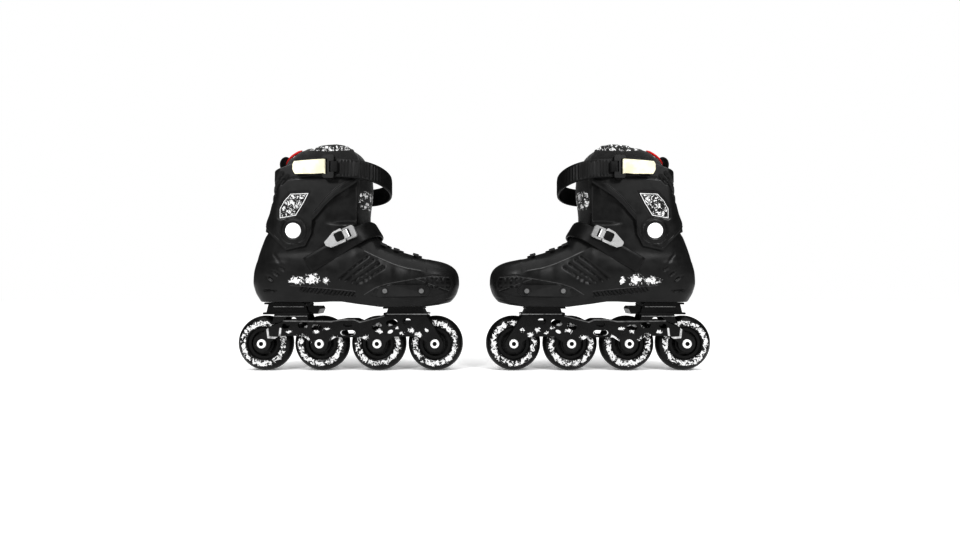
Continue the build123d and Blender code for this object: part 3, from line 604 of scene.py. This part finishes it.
def shell_relief(x, y, z):
    """Height of the moulded detail on the shell's outside, in mm."""
    on_side = smoothstep(np.abs(y), 10, 16)
    relief = np.zeros_like(x)
    for start, end in RIB_LINES:
        relief += groove(line_distance(x, z, start, end), 2.2, 2.2)
    seam = piecewise(x, VAMP_SEAM)
    above = smoothstep(z, seam - 0.7, seam + 0.7) * smoothstep(x, 12, 18) * smoothstep(x, 113, 106)
    relief += -1.3 * above + 0.5 * (1 - smoothstep(np.abs(z - seam + 1.6), 0.4, 1.5)) * smoothstep(x, 14, 20) * smoothstep(x, 111, 104)
    relief += groove(path_distance(x, z, SLIDER_PANEL + SLIDER_PANEL[:1]), 1.3, 0.8)
    relief += groove(path_distance(x, z, TOE_PANEL + TOE_PANEL[:1]), 1.2, 0.9)
    relief += groove(line_distance(x, z, *HEEL_SLOT), 1.9, 1.8)
    for start, end in HEEL_VENTS:
        relief += groove(line_distance(x, z, start, end), 2.3, 2.0)
    for start, end in VENT_LINES:
        relief += groove(line_distance(x, z, start, end), 1.1, 0.7)
    band = inside_polygon(x, z, RAND)
    knurl = 0.5 + 0.5 * np.sign(np.sin((x - 0.9 * z) * 2 * math.pi / 5.6))
    relief += np.where(band, -1.5 + 1.9 * knurl, 0.0)
    for centre_x, centre_z in TOE_DIMPLES:
        relief += groove(np.hypot(x - centre_x, z - centre_z), 1.9, 1.2)
    for centre_x in SLIDER_SCREW_X:
        relief += groove(np.hypot(x - centre_x, z - SLIDER_SCREW_Z), 7.0, 2.4)
    welt = piecewise(x, SOLE_Z) + 7.0
    relief += groove(np.abs(z - welt), 1.1, 0.7) * smoothstep(x, 30, 40)
    relief += 0.7 * smoothstep(z, 156, 150) * smoothstep(x, -70, -90) * smoothstep(z, 100, 112)
    return relief * on_side


def shell_mesh(skate):
    """Outer skin of the shell with its sole, then its wall."""
    half_turn = math.pi / 2
    stations = [("heel", a) for a in np.linspace(half_turn, 0, 40, endpoint=False)]
    stations += [("side", x) for x in np.arange(HEEL_FAN_X, TOE_FAN_X, 1.5)]
    stations += [("toe", a) for a in np.linspace(0, half_turn, 56)]
    one_side = [shell_column(kind, where) for kind, where in stations]
    rows = len(one_side[0])
    other = [column * np.array([1, -1, 1]) for column in reversed(one_side[1:-1])]
    columns = one_side + other
    points = np.concatenate(columns)
    faces = []
    count = len(columns)
    for c in range(count):
        for r in range(rows - 1):
            a, b = c * rows + r, ((c + 1) % count) * rows + r
            faces.append((a, b, b + 1, a + 1))
    # side panels that rise inside the cuff's arms
    panel_x = [where for kind, where in stations if kind == "side" and -52 <= where <= 15]
    for sign in (1, -1):
        start = len(points)
        levels = np.linspace(0, 1, 40)
        grid = []
        for x in panel_x:
            top = linear(x, [(-52, 218), (-44, 232), (-20, 250), (15, 264)])
            z = PANEL_BASE_Z + (top - PANEL_BASE_Z) * levels
            first = shell_column("side", x)[-1]
            inward = smoothstep(x, -30, 18)
            y = -(38.2 - 9.0 * inward) * np.ones_like(z)
            blend = smoothstep(levels, 0, 0.12)
            y = first[1] * (1 - blend) + y * blend
            z[0] = first[2]
            grid.append(np.column_stack([np.full_like(z, x), sign * y, z]))
        points = np.concatenate([points] + grid)
        quads = [tuple(start + i for i in face) for face in grid_faces(len(panel_x), len(levels))]
        faces += [tuple(reversed(q)) for q in quads] if sign == 1 else quads
    obj = new_mesh(skate, skate.node("boot_shell_skin"), points, faces)
    merged(obj, 0.00008)
    fix_normals(obj)
    displace(obj, skate, shell_relief)
    thicken(obj, 2.6)
    return obj


def fix_normals(obj):
    """Point all faces the same way, outward."""
    import bmesh
    bm = bmesh.new()
    bm.from_mesh(obj.data)
    bmesh.ops.recalc_face_normals(bm, faces=bm.faces)
    bm.to_mesh(obj.data)
    bm.free()


def skate_coordinates(obj, skate):
    """The mesh's points in the skate's frame, in mm."""
    co = np.zeros(len(obj.data.vertices) * 3)
    obj.data.vertices.foreach_get("co", co)
    p = co.reshape(-1, 3) - skate.origin
    return np.column_stack([p @ skate.x_dir, p @ skate.y_dir, p[:, 2]]) / MM


def displace(obj, skate, relief):
    """Move the points along their normals by a relief in mm."""
    p = skate_coordinates(obj, skate)
    count = len(obj.data.vertices)
    co = np.zeros(count * 3)
    obj.data.vertices.foreach_get("co", co)
    normals = np.array([v.normal for v in obj.data.vertices])
    height = relief(p[:, 0], p[:, 1], p[:, 2]) * MM
    co = co.reshape(-1, 3) + normals * height[:, None]
    obj.data.vertices.foreach_set("co", co.ravel())
    obj.data.update()


# ---------------------------------------------------------------- cuff
CUFF_LOW = [(-122, 205), (-117, 203), (-105, 194), (-91, 181), (-79, 168.5), (-53, 174.5), (-43.5, 193), (-43, 209),
            (-34, 219), (-25, 230), (-12, 242), (12, 258), (17, 262)]
CUFF_TOP = [(-122, 282), (-105, 282), (-100, 276), (-92, 278), (-66, 288), (-20, 286), (0, 279), (12, 268), (17, 264)]
CUFF_BACK = [(165, -121), (205, -117), (222, -110.5), (245, -104.5), (262, -102.5), (300, -101.5)]
PRINT_PANEL = [(-88, 211), (-65, 215), (-54, 233), (-47, 247), (-73, 246), (-82, 236), (-88, 225)]
BAND_LOW = [(-44, 208), (-34, 219), (-25, 230.5), (-4, 248.5), (13, 258.5)]
BAND_HIGH = [(-46, 227), (-30, 241), (-15, 250.5), (8, 262.5)]
PIVOT = np.array([-68.6, 195.0])
BACK_SLOTS = [((-102, 236), (-95, 245)), ((-100, 247), (-89, 259)), ((-98, 259), (-84, 272)), ((-85, 260), (-77, 268))]


def cuff_point(u, z):
    """Outer face of the cuff, in mm; u (from one front tip round the back to the other) is not used."""
    straight = 17.0 - (-86.0)
    back = -86.0 - piecewise(z, CUFF_BACK)
    return straight, back


def cuff_relief(x, y, z):
    relief = np.zeros_like(x)
    from_pivot = np.hypot(x - PIVOT[0], z - PIVOT[1])
    relief += 1.0 * (smoothstep(from_pivot, 10.8, 11.6) - smoothstep(from_pivot, 15.5, 16.6))
    relief += groove(np.abs(from_pivot - 17.4), 1.0, 0.7)
    panel = inside_polygon(x, z, PRINT_PANEL)
    edge = path_distance(x, z, PRINT_PANEL + PRINT_PANEL[:1])
    relief += groove(edge, 1.3, 0.8)
    relief += np.where(panel, -0.5, 0.0)
    low = linear(x, CUFF_LOW)
    band = smoothstep(z, low - 1, low + 0.5) * (1 - smoothstep(z, low + 8.5, low + 10.5))
    relief += 1.1 * band * smoothstep(x, -50, -42)
    bevel = 1 - smoothstep(z - low, 0.4, 3.2)
    relief += -0.9 * bevel
    border = np.abs(z - low - 4.5)
    relief += groove(border, 1.0, 0.5) * smoothstep(x, -40, -46)
    for start, end in BACK_SLOTS:
        relief += groove(line_distance(x, z, start, end), 2.8, 2.6)
    relief += groove(np.abs(z - 262.5 - 0.12 * (x + 100)), 1.1, 0.8) * smoothstep(x, -30, -42)
    return relief * smoothstep(np.abs(y), 6, 14)


def cuff_mesh(skate):
    """The hinged cuff: flat arms joined round the back, with a polygonal lower edge."""
    side_x = np.concatenate([np.arange(17.0, -43.0, -1.3), [-43.0, -43.3], np.arange(-44.0, -86.0, -1.3)])
    angles = np.linspace(0, math.pi, 61)
    levels = np.linspace(0, 1, 84)
    columns = []

    def column(x, y_sign, angle=None):
        low = float(linear(x, CUFF_LOW))
        top = float(linear(x, CUFF_TOP))
        z = low + (top - low) * levels
        if angle is None:
            y = np.full_like(z, 42.0 * y_sign)
            xs = np.full_like(z, x)
            taper = smoothstep(x, -5, 17) * 3.0
            y = y - y_sign * taper
        else:
            back = -86.0 - piecewise(z, CUFF_BACK)
            reach = superellipse(angle, np.full_like(z, 42.0), back, 2.3)
            xs = -86.0 - reach * math.sin(angle)
            y = -reach * math.cos(angle)
        return np.column_stack([xs, y, z])

    for x in side_x:
        columns.append(column(x, -1))
    for angle in angles:
        reach = float(superellipse(angle, 42.0, 22.0, 2.3))
        columns.append(column(-86.0 - reach * math.sin(angle) * 1.0, 0, angle))
    for x in side_x[::-1]:
        columns.append(column(x, 1))
    points = np.concatenate(columns)
    obj = new_mesh(skate, skate.node("cuff_skin"), points, grid_faces(len(columns), len(levels)))
    fix_normals(obj)
    point_outward(obj, skate)
    displace(obj, skate, cuff_relief)
    thicken(obj, 2.4)
    return obj


def point_outward(obj, skate):
    """Flip an open skin whose faces point at the skate's middle."""
    p = skate_coordinates(obj, skate)
    middle = skate.world([[-45.0, 0.0, 220.0]])[0]
    normals = np.array([v.normal for v in obj.data.vertices])
    away = np.array([v.co for v in obj.data.vertices]) - middle
    away[:, 2] = 0
    if (normals * away).sum() < 0:
        obj.data.flip_normals()
    return p


# ---------------------------------------------------------------- straps
def ribbon(skate, name, line, across, width, thickness, relief=None, rounding=0.7):
    """Flat band along a line of points, across which it is width wide, with its face outward."""
    line = np.asarray(line, float)
    tangent = np.gradient(line, axis=0)
    tangent /= np.linalg.norm(tangent, axis=1, keepdims=True)
    across = across / np.linalg.norm(across, axis=1, keepdims=True)
    out = np.cross(tangent, across)
    out /= np.linalg.norm(out, axis=1, keepdims=True)
    half, deep = width / 2, thickness
    lanes = np.concatenate([[-1.0, -1.0 + rounding / half], np.linspace(-0.86, 0.86, 15), [1.0 - rounding / half, 1.0]])
    rows = []
    lengths = np.concatenate([[0], np.cumsum(np.linalg.norm(np.diff(line, axis=0), axis=1))])
    for i, point in enumerate(line):
        ring = []
        for lane in lanes:
            lift = deep - rounding * (1 - math.sqrt(max(0.0, 1 - max(0.0, (abs(lane) * half - half + rounding) / rounding) ** 2)))
            if relief is not None:
                lift += relief(lengths[i], lane * half, lengths[-1])
            ring.append(point + across[i] * lane * half + out[i] * lift)
        for lane in lanes[::-1]:
            ring.append(point + across[i] * lane * half)
        rows.append(ring)
    columns = len(rows[0])
    points = np.array(rows).reshape(-1, 3)
    faces = grid_faces(len(rows), columns, closed=True)
    faces.append(tuple(range(columns)))
    faces.append(tuple(reversed(range(len(points) - columns, len(points)))))
    obj = new_mesh(skate, skate.node(name), points, faces)
    fix_normals(obj)
    return obj


def resample(points, step):
    """Evenly spaced points along a smooth curve through the given ones."""
    points = np.asarray(points, float)
    lengths = np.concatenate([[0], np.cumsum(np.linalg.norm(np.diff(points, axis=0), axis=1))])
    count = int(lengths[-1] / step) + 1
    at = np.linspace(0, lengths[-1], count)
    dense = np.column_stack([piecewise(at, list(zip(lengths, points[:, k]))) for k in range(3)])
    for _ in range(6):
        dense[1:-1] = (dense[:-2] + 2 * dense[1:-1] + dense[2:]) / 4
    return dense


def cuff_strap(skate):
    """Ladder strap: from under the upper buckle, round the front, to the cuff's inner side."""
    arc = []
    for degrees in np.linspace(-90, 90, 19):
        angle = math.radians(degrees)
        half = 44.9 if degrees < 0 else 42.4
        arc.append((8 + 47.2 * math.cos(angle), half * math.sin(angle)))
    plan = [(-48, -44.9), (-30, -44.9), (-12, -44.9)] + arc + [(-8, 42.2), (-22, 42.15), (-34, 42.15)]
    line = resample([(x, y, 266.3 - 0.04 * x - 0.28 * y) for x, y in plan], 0.8)
    across = np.tile([0.0, 0.0, 1.0], (len(line), 1))

    def ladder(along, over, total):
        if along < 44 or along > 168 or abs(over) > 9.8:
            return 0.0
        return 1.1 * ((along % 4.6) / 4.6) - 0.5

    return ribbon(skate, "cuff_strap_band", line, across, 25.0, 2.6, ladder)


STRAP_LOW = np.array([-49.5, 147.7])       # middle of the instep strap's lower end, x and z
STRAP_WAY = np.array([0.856, 0.517])       # its direction in the side view
STRAP_REACH = 101.0                        # from there to its foremost line
STRAP_BEND = 60.0                          # where it starts to turn over the instep


def instep_strap(skate):
    """45 degree strap over the instep, anchored low on both sides of the shell."""
    side = np.linspace(0, 1, 70)
    along = STRAP_REACH * np.sin(side * math.pi / 2) ** 0.9
    x = STRAP_LOW[0] + STRAP_WAY[0] * along
    z = STRAP_LOW[1] + STRAP_WAY[1] * along
    turn = np.clip((along - STRAP_BEND) / (STRAP_REACH - STRAP_BEND), 0, 1)
    half = (shell_half_width(x, z) + 0.5) * (1 - turn ** 2.5) ** 0.4
    outer = np.column_stack([x, -half, z])
    inner = outer[-2::-1] * np.array([1, -1, 1])
    line = resample(np.concatenate([outer, inner]), 0.9)
    across = np.tile([-STRAP_WAY[1], 0.0, STRAP_WAY[0]], (len(line), 1))

    def stitched(run, over, total):
        rib = 0.35 if abs(abs(over) - 9.6) < 1.0 else 0.0
        end = min(run, total - run)
        return -rib - 1.6 * max(0.0, 1 - end / 5.0) ** 2

    return ribbon(skate, "instep_strap_band", line, across, 23.0, 2.8, stitched, 1.1)


# ---------------------------------------------------------------- liner and tongue
def padded_shell(skate, name, columns, levels, thickness):
    """Closed padded skin: an outer grid, an inner grid and the rim that joins them."""
    points = np.concatenate(columns)
    obj = new_mesh(skate, skate.node(name), points, grid_faces(len(columns), levels))
    fix_normals(obj)
    point_outward(obj, skate)
    modifier = obj.modifiers.new("pad", "SOLIDIFY")
    modifier.thickness = thickness * MM
    modifier.offset = -1.0
    apply_modifiers(obj)
    return obj


def puff(obj, voxel=0.0042, pressure=4.0, cap=0.0022):
    """Swell a pad by cloth simulation: remesh, inflate, cap the travel, and round it off."""
    remesh = obj.modifiers.new("remesh", "REMESH")
    remesh.mode = "VOXEL"
    remesh.voxel_size = voxel
    apply_modifiers(obj)
    rest = np.array([v.co for v in obj.data.vertices])
    cloth = obj.modifiers.new("cloth", "CLOTH")
    settings = cloth.settings
    settings.quality = 5
    settings.mass = 0.3
    settings.use_pressure = True
    settings.uniform_pressure_force = pressure
    settings.effector_weights.gravity = 0.0
    settings.tension_stiffness = 12
    settings.compression_stiffness = 12
    settings.bending_stiffness = 2.0
    cloth.point_cache.frame_start = 1
    cloth.point_cache.frame_end = 20
    for step in range(1, 21):
        bpy.context.scene.frame_set(step)
    apply_modifiers(obj)
    bpy.context.scene.frame_set(1)
    moved = np.array([v.co for v in obj.data.vertices])
    travel = moved - rest
    length = np.linalg.norm(travel, axis=1, keepdims=True)
    travel *= np.minimum(1.0, cap / np.maximum(length, 1e-9))
    obj.data.vertices.foreach_set("co", (rest + travel).ravel())
    obj.data.update()
    smooth = obj.modifiers.new("smooth", "SMOOTH")
    smooth.factor = 0.5
    smooth.iterations = 3
    finer = obj.modifiers.new("finer", "SUBSURF")
    finer.levels = 1
    finer.render_levels = 1
    apply_modifiers(obj)
    for polygon in obj.data.polygons:
        polygon.use_smooth = True
    return obj


def collar_height(x):
    """Domed top edge of the liner and tongue in the side view."""
    return piecewise(x, [(-97, 285), (-90, 293), (-80, 301), (-62, 309.5), (-43, 316), (-18, 320.5), (2, 318),
                         (12, 312), (20, 302), (26, 291)])


def rim_point(degrees, inset):
    """Point of the liner's top edge, at an angle from straight ahead, inset mm inside it."""
    angle = math.radians(degrees)
    c, s = math.cos(angle), math.sin(angle)
    reach = float(superellipse(np.array([angle]), 53.0 if c > 0 else 55.0, 33.6, 2.6)[0]) - inset
    x = -38 + reach * c
    return (x, reach * s, float(collar_height(x)) - 1.5)


def liner_lining(skate):
    """Red piping that shows along the back of the liner's top edge."""
    line = np.array([rim_point(degrees, 3.6) for degrees in np.linspace(128, 232, 60)])
    line[:, 2] -= 1.5
    rings = []
    for i, point in enumerate(line):
        ahead = line[min(i + 1, len(line) - 1)] - line[max(i - 1, 0)]
        ahead /= np.linalg.norm(ahead)
        side = np.cross(ahead, [0.0, 0.0, 1.0])
        side /= np.linalg.norm(side)
        up = np.cross(side, ahead)
        fat = 1.6 * math.sqrt(min(1.0, min(i, len(line) - 1 - i) / 4.0 + 0.05))
        ring = []
        for k in range(12):
            angle = 2 * math.pi * k / 12
            ring.append(point + fat * (math.cos(angle) * side + math.sin(angle) * up))
        rings.append(np.array(ring))
    faces = grid_faces(len(rings), 12, closed=True)
    faces.append(tuple(range(12)))
    faces.append(tuple(reversed(range(12 * len(rings) - 12, 12 * len(rings)))))
    obj = new_mesh(skate, skate.node("liner_piping"), np.concatenate(rings), faces)
    fix_normals(obj)
    return obj


def pull_tab(skate):
    """Webbing loop sewn to the back of the liner, for pulling the boot on."""
    loop = [(-93.5, 279), (-96, 286), (-97.5, 293), (-95.5, 299), (-90, 302), (-85.5, 299.5), (-83.5, 292)]
    line = resample([(x, 0.0, z) for x, z in loop], 0.9)
    across = np.tile([0.0, 1.0, 0.0], (len(line), 1))
    return ribbon(skate, "pull_tab", line, across, 21.0, 1.6, None, 0.5)


def liner_mesh(skate):
    """Padded inner boot above the shell, open at the top and at the tongue."""
    levels = 40
    columns = []
    angles = np.concatenate([np.linspace(16, 90, 26, endpoint=False), np.linspace(90, 270, 50, endpoint=False), np.linspace(270, 344, 27)])
    for degrees in angles:
        a = math.radians(degrees)
        low, high = 168.0, None
        z = np.linspace(0, 1, levels)
        c, s = math.cos(a), math.sin(a)
        front, back, half = 60.0, 56.0, 33.5
        radius = superellipse(np.array([a]), front if c > 0 else back, half, 2.6)[0]
        x_edge = -38 + radius * c
        top = float(collar_height(x_edge)) - 1.5
        zz = low + (top - low) * z
        back_in = piecewise(zz, [(168, 60), (195, 60), (222, 60), (245, 57.5), (300, 55)])
        front_in = piecewise(zz, [(168, 60), (215, 58), (250, 64), (280, 62), (320, 54)])
        wide = piecewise(zz, [(168, 32.8), (215, 33.0), (250, 34.2), (290, 34.8), (325, 33.6)])
        reach = superellipse(np.full_like(zz, a), front_in if c > 0 else back_in, wide, 2.6)
        columns.append(np.column_stack([-38 + reach * c, reach * s, zz]))
    obj = padded_shell(skate, "liner_pad", columns, levels, 6.5)
    return puff(obj)


def tongue_mesh(skate):
    """Padded tongue, from under the hooks up the shin to the domed collar."""
    line = [(100, 152.5), (80, 158), (62, 163.5), (46, 171), (36, 182), (30, 196), (27, 214), (29.5, 234), (32, 256), (30, 276),
            (24, 293), (14, 307), (2, 314)]
    centre = resample([(x, 0.0, z) for x, z in line], 3.2)
    columns = []
    lanes = np.linspace(-1, 1, 23)
    for point in centre:
        z = point[2]
        half = float(piecewise(z, [(150, 14), (165, 17), (185, 21), (230, 24), (310, 25)]))
        bend = float(piecewise(z, [(150, 3.5), (175, 5), (200, 10), (230, 14), (310, 14)]))
        ring = []
        for lane in lanes:
            drop = bend * lane * lane
            forward = float(smoothstep(z, 172, 205))
            ring.append((point[0] - drop * forward, half * lane, z - drop * (1 - forward) - 3.0 * abs(lane) ** 3 * smoothstep(z, 285, 309)))
        columns.append(np.array(ring))
    obj = new_mesh(skate, skate.node("tongue_pad"), np.concatenate(columns), grid_faces(len(columns), len(lanes)))
    fix_normals(obj)
    normals = np.array([v.normal for v in obj.data.vertices])
    if (normals @ skate.x_dir).sum() < 0:
        obj.data.flip_normals()
    modifier = obj.modifiers.new("pad", "SOLIDIFY")
    modifier.thickness = 6.0 * MM
    modifier.offset = -1.0
    apply_modifiers(obj)
    return puff(obj)


# ---------------------------------------------------------------- the whole pair
skates = [Skate(side) for side in SIDES]

STEEL = brushed_metal("steel", grey(0.72), 0.24)
DARK = moulded_plastic("buckle_dark", grey(0.007), 0.34)
PALE_GREY = moulded_plastic("buckle_grey", grey(0.2), 0.38)
CREAM = moulded_plastic("lever_cream", (0.5, 0.48, 0.37, 1.0), 0.28)
SILVER = brushed_metal("lever_silver", grey(0.62), 0.34, (1.0, 1.0, 6.0))
WHITE = moulded_plastic("pivot_white", grey(0.66), 0.35)
STRAP = moulded_plastic("strap_black", grey(0.0045), 0.4)
RED = moulded_plastic("lining_red", (0.34, 0.012, 0.01, 1.0), 0.7, 900.0, 0.0003)
WEBBING = moulded_plastic("webbing_black", grey(0.012), 0.7, 1300.0, 0.0003)

AXLE_X = [121.5, 40.5, -40.5, -121.5]
SHELL_MARKS = [((-65, 127.5), (10, 4.8), 0), ((-43.5, 129), (8.5, 6.6), 0), ((-24.5, 127.5), (4.4, 4.4), 0)]
FRAME_MARKS = [
    ((-62, 44), (9, 6), -35), ((-20, 46), (6, 4), 30), ((22, 47), (7, 3.5), 20), ((44, 57), (5, 3), 10),
    ((75, 54), (3.5, 2.5), 0), ((88, 58), (4, 3.5), 0), ((98, 52), (5, 3.5), 0), ((-45, 56), (4, 2.5), 20),
    ((-83, 56), (4, 2.5), 0), ((-31, 60), (5, 2), 0), ((110, 58), (3, 3), 0), ((68, 61), (3, 2), 0),
]
FRAME_OVALS = [((-6, 54.5), (5.6, 3.9), 0), ((4.6, 54.5), (5.6, 3.9), 0), ((59, 56), (4.2, 2.6), 25)]
# A printed hook mark, then painted highlights on the frame.
FRAME_PRINT_AND_PAINTED_HIGHLIGHTS = [
    ([(-114, 61), (-112.5, 48), (-97, 47), (-95.5, 60)], 2.0, 0.5),       # square hook mark at the heel
    # painted highlights: along the rail's top chamfer, then along the edges of the heel and front mounts
    ([(-92, 71.2), (-24, 70.2), (-9, 72.8), (8, 72.8), (16, 69.4), (50, 78)], 1.3, 0.16),
    ([(-105, 91.0), (-63, 91.0)], 0.8, 0.3), ([(-110, 77.6), (-57, 77.6)], 0.9, 0.35),
    ([(55, 80.6), (110, 80.6)], 1.2, 0.2),
]
# Painted light on the shell: pale strokes are painted highlights along edges, near-black strokes painted shade in its
# grooves.
SHELL_PAINTED_HIGHLIGHTS_AND_SHADE = [
    ([(28, 167.5), (48, 158), (68, 149.5), (86, 144), (104, 141)], 0.7, 0.09),    # painted highlight along the vamp's edge
    # painted shade in the heel slot
    ([(-110, 114.5), (-93, 113.6)], 1.6, 0.0008),
    # painted highlights along the top edges of the knurled band and the slider panel, and along the toe panel's edges
    ([(-74, 120.5), (-20, 116.2), (16, 112.6)], 0.6, 0.05),
    ([(28, 108), (44, 117.6), (60, 122.8), (98, 129.8), (104, 131)], 0.7, 0.06),
    ([(99, 129), (120, 133.5), (141, 131.5)], 0.7, 0.05), ([(99, 129), (142, 113.5)], 0.7, 0.05),
# painted shade in the heel vents and the rib grooves
] + [([start, end], 1.7, 0.0006) for start, end in HEEL_VENTS + RIB_LINES]
# painted shade in the toe's dimples
DIMPLE_PAINTED_SHADE = [([(x, z), (x + 1.2, z)], 1.9, 0.0006) for x, z in TOE_DIMPLES]


def smooth_cad(node):
    """Shade a carried-over CAD node smooth across its shallow edges."""
    mesh = frame["nodes"][node].data
    mesh.shade_smooth() if hasattr(mesh, "shade_smooth") else None
    if hasattr(mesh, "set_sharp_from_angle"):
        mesh.set_sharp_from_angle(angle=math.radians(32))


for skate in skates:
    nodes = frame["nodes"]
    boot, cuff = skate.node("boot"), skate.node("cuff")

    shell = shell_mesh(skate)
    assign(shell, printed(skate.node("shell_black"), skate, grey(0.0085), 0.36, SHELL_MARKS,
                          lines=SHELL_PAINTED_HIGHLIGHTS_AND_SHADE + DIMPLE_PAINTED_SHADE))
    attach(shell, boot)
    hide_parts(skate.node("boot_shell"))

    cuff_skin = cuff_mesh(skate)
    assign(cuff_skin, printed(skate.node("cuff_black"), skate, grey(0.008), 0.35, (), panel=PRINT_PANEL))
    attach(cuff_skin, cuff)
    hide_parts(skate.node("cuff"))

    strap = cuff_strap(skate)
    assign(strap, STRAP)
    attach(strap, cuff)
    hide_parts(skate.node("cuff_strap"))

    band = instep_strap(skate)
    assign(band, STRAP)
    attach(band, boot)
    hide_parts(skate.node("instep_strap"))

    liner = liner_mesh(skate)
    assign(liner, fabric_material(skate.node("liner_fabric"), skate, [((-22, 312), (36, 7.5), 2)]))
    tongue = tongue_mesh(skate)
    assign(tongue, fabric_material(skate.node("tongue_fabric"), skate, [((25, 240), (10, 14), -8)]))
    for pad, name in ((liner, "liner"), (tongue, "tongue")):
        keep_rest_place(pad)
        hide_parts(skate.node(name))
        start = skate.world([[-30.0, 0.0, 190.0]])[0]
        end = skate.world([[-30.0, 0.0, 250.0]])[0]
        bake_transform(pad)

    piping = liner_lining(skate)
    assign(piping, RED)
    tab = pull_tab(skate)
    assign(tab, WEBBING)
    for trim in (piping, tab):
        tuple(skate.world([[-30.0, 0.0, 190.0]])[0])
        tuple(skate.world([[-30.0, 0.0, 250.0]])[0])
        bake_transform(trim)

    frame_paint = printed(skate.node("frame_black"), skate, grey(0.005), 0.2, FRAME_MARKS, bold=FRAME_OVALS,
                          lines=FRAME_PRINT_AND_PAINTED_HIGHLIGHTS)
    axle_paint = axle_material(skate.node("axle_steel"), skate, [(x, 39.0) for x in AXLE_X])
    screw_rings = [((x, SLIDER_SCREW_Z), (3.4, 3.4), 0) for x in SLIDER_SCREW_X]
    slider_paint = printed(skate.node("slider_black"), skate, grey(0.012), 0.35, (), 0.14, bold=screw_rings)
    for name, made in (
        ("frame", frame_paint), ("frame_bolts", STEEL), ("axles", axle_paint), ("cuff_pivots", WHITE),
        ("cuff_buckle_base", DARK), ("cuff_buckle_lever", CREAM), ("cuff_buckle_latch", DARK),
        ("instep_buckle_base", PALE_GREY), ("instep_buckle_lever", SILVER), ("instep_release", DARK),
        ("lace_hooks", DARK), ("side_sliders", slider_paint),
    ):
        assign(nodes[skate.node(name)], made)
        smooth_cad(skate.node(name))
    for number in range(1, 5):
        joint = JOINTS[skate.node(f"wheel_{number}_spin")]
        where, axis = joint["pos_m"], joint["axis"]
        tyre_paint = splatter_ring(skate.node(f"tyre_{number}_print"), where, axis, grey(0.005), 10.6, 0.3)
        hub_paint = splatter_ring(skate.node(f"hub_{number}_print"), where, axis, grey(0.004), 8.9, 0.36)
        for name, made in ((f"tyre_{number}", tyre_paint), (f"hub_{number}", hub_paint), (f"bearings_{number}", STEEL)):
            assign(nodes[skate.node(name)], made)
            smooth_cad(skate.node(name))

# ---------------------------------------------------------------- stage, lights and camera
FLOOR_WHITE = 0.92


def floor():
    mesh = bpy.data.meshes.new("studio_floor")
    size = 6.0
    mesh.from_pydata([(-size, -size, 0), (size, -size, 0), (size, size, 0), (-size, size, 0)], [], [(0, 1, 2, 3)])
    obj = bpy.data.objects.new("studio_floor", mesh)
    bpy.context.scene.collection.objects.link(obj)
    made, n = material("paper_white")
    n.surface(
        n.mix(n.noise(3.0), grey(FLOOR_WHITE), grey(FLOOR_WHITE * 1.02)), 0.85,
        Emission_Color=(1.0, 1.0, 1.0, 1.0), Emission_Strength=0.22,
    )
    assign(obj, made)
    obj.location.z = -0.0002


def area_light(name, place, target, size, power):
    light = bpy.data.lights.new(name, "AREA")
    light.shape = "RECTANGLE"
    light.size, light.size_y = size
    light.energy = power
    obj = bpy.data.objects.new(name, light)
    obj.location = place
    obj.rotation_euler = (Vector(target) - Vector(place)).to_track_quat("-Z", "Y").to_euler()
    bpy.context.scene.collection.objects.link(obj)


def world_light(strength):
    """White surroundings, which light the pair only softly."""
    world = bpy.data.worlds.new("studio")
    world.use_nodes = True
    tree = world.node_tree
    soft = tree.nodes["Background"]
    soft.inputs[0].default_value = (1.0, 1.0, 1.0, 1.0)
    soft.inputs[1].default_value = strength
    white = tree.nodes.new("ShaderNodeBackground")
    white.inputs[0].default_value = (1.0, 1.0, 1.0, 1.0)
    white.inputs[1].default_value = 1.0
    path = tree.nodes.new("ShaderNodeLightPath")
    either = tree.nodes.new("ShaderNodeMixShader")
    tree.links.new(path.outputs["Is Camera Ray"], either.inputs[0])
    tree.links.new(soft.outputs[0], either.inputs[1])
    tree.links.new(white.outputs[0], either.inputs[2])
    tree.links.new(either.outputs[0], tree.nodes["World Output"].inputs["Surface"])
    bpy.context.scene.world = world


def sun_light(name, direction, strength, spread):
    """Even light from a wide panel overhead."""
    light = bpy.data.lights.new(name, "SUN")
    light.energy = strength
    light.angle = math.radians(spread)
    obj = bpy.data.objects.new(name, light)
    obj.rotation_euler = Vector(direction).to_track_quat("-Z", "Y").to_euler()
    bpy.context.scene.collection.objects.link(obj)


CAMERA_HEIGHT = 0.110
CAMERA_DISTANCE = 0.765

floor()
world_light(0.09)
sun_light("ceiling", (0.0, 0.25, -1.0), 2.9, 70)
area_light("key_left", (-0.6, -0.95, 0.75), (-0.18, 0, 0.2), (0.36, 0.26), 8.5)
area_light("key_right", (0.6, -0.95, 0.75), (0.18, 0, 0.2), (0.36, 0.26), 8.5)

camera_data = bpy.data.cameras.new("camera")
camera_data.lens = 20.0
camera_data.sensor_width = 36.0
camera_data.shift_y = 0.0242
camera = bpy.data.objects.new("camera", camera_data)
camera.location = (0.008, -CAMERA_DISTANCE, CAMERA_HEIGHT)
camera.rotation_euler = (math.radians(90), 0, 0)
bpy.context.scene.collection.objects.link(camera)
bpy.context.scene.camera = camera
bpy.context.scene.view_settings.view_transform = "Standard"
bpy.context.scene.view_settings.gamma = 0.76
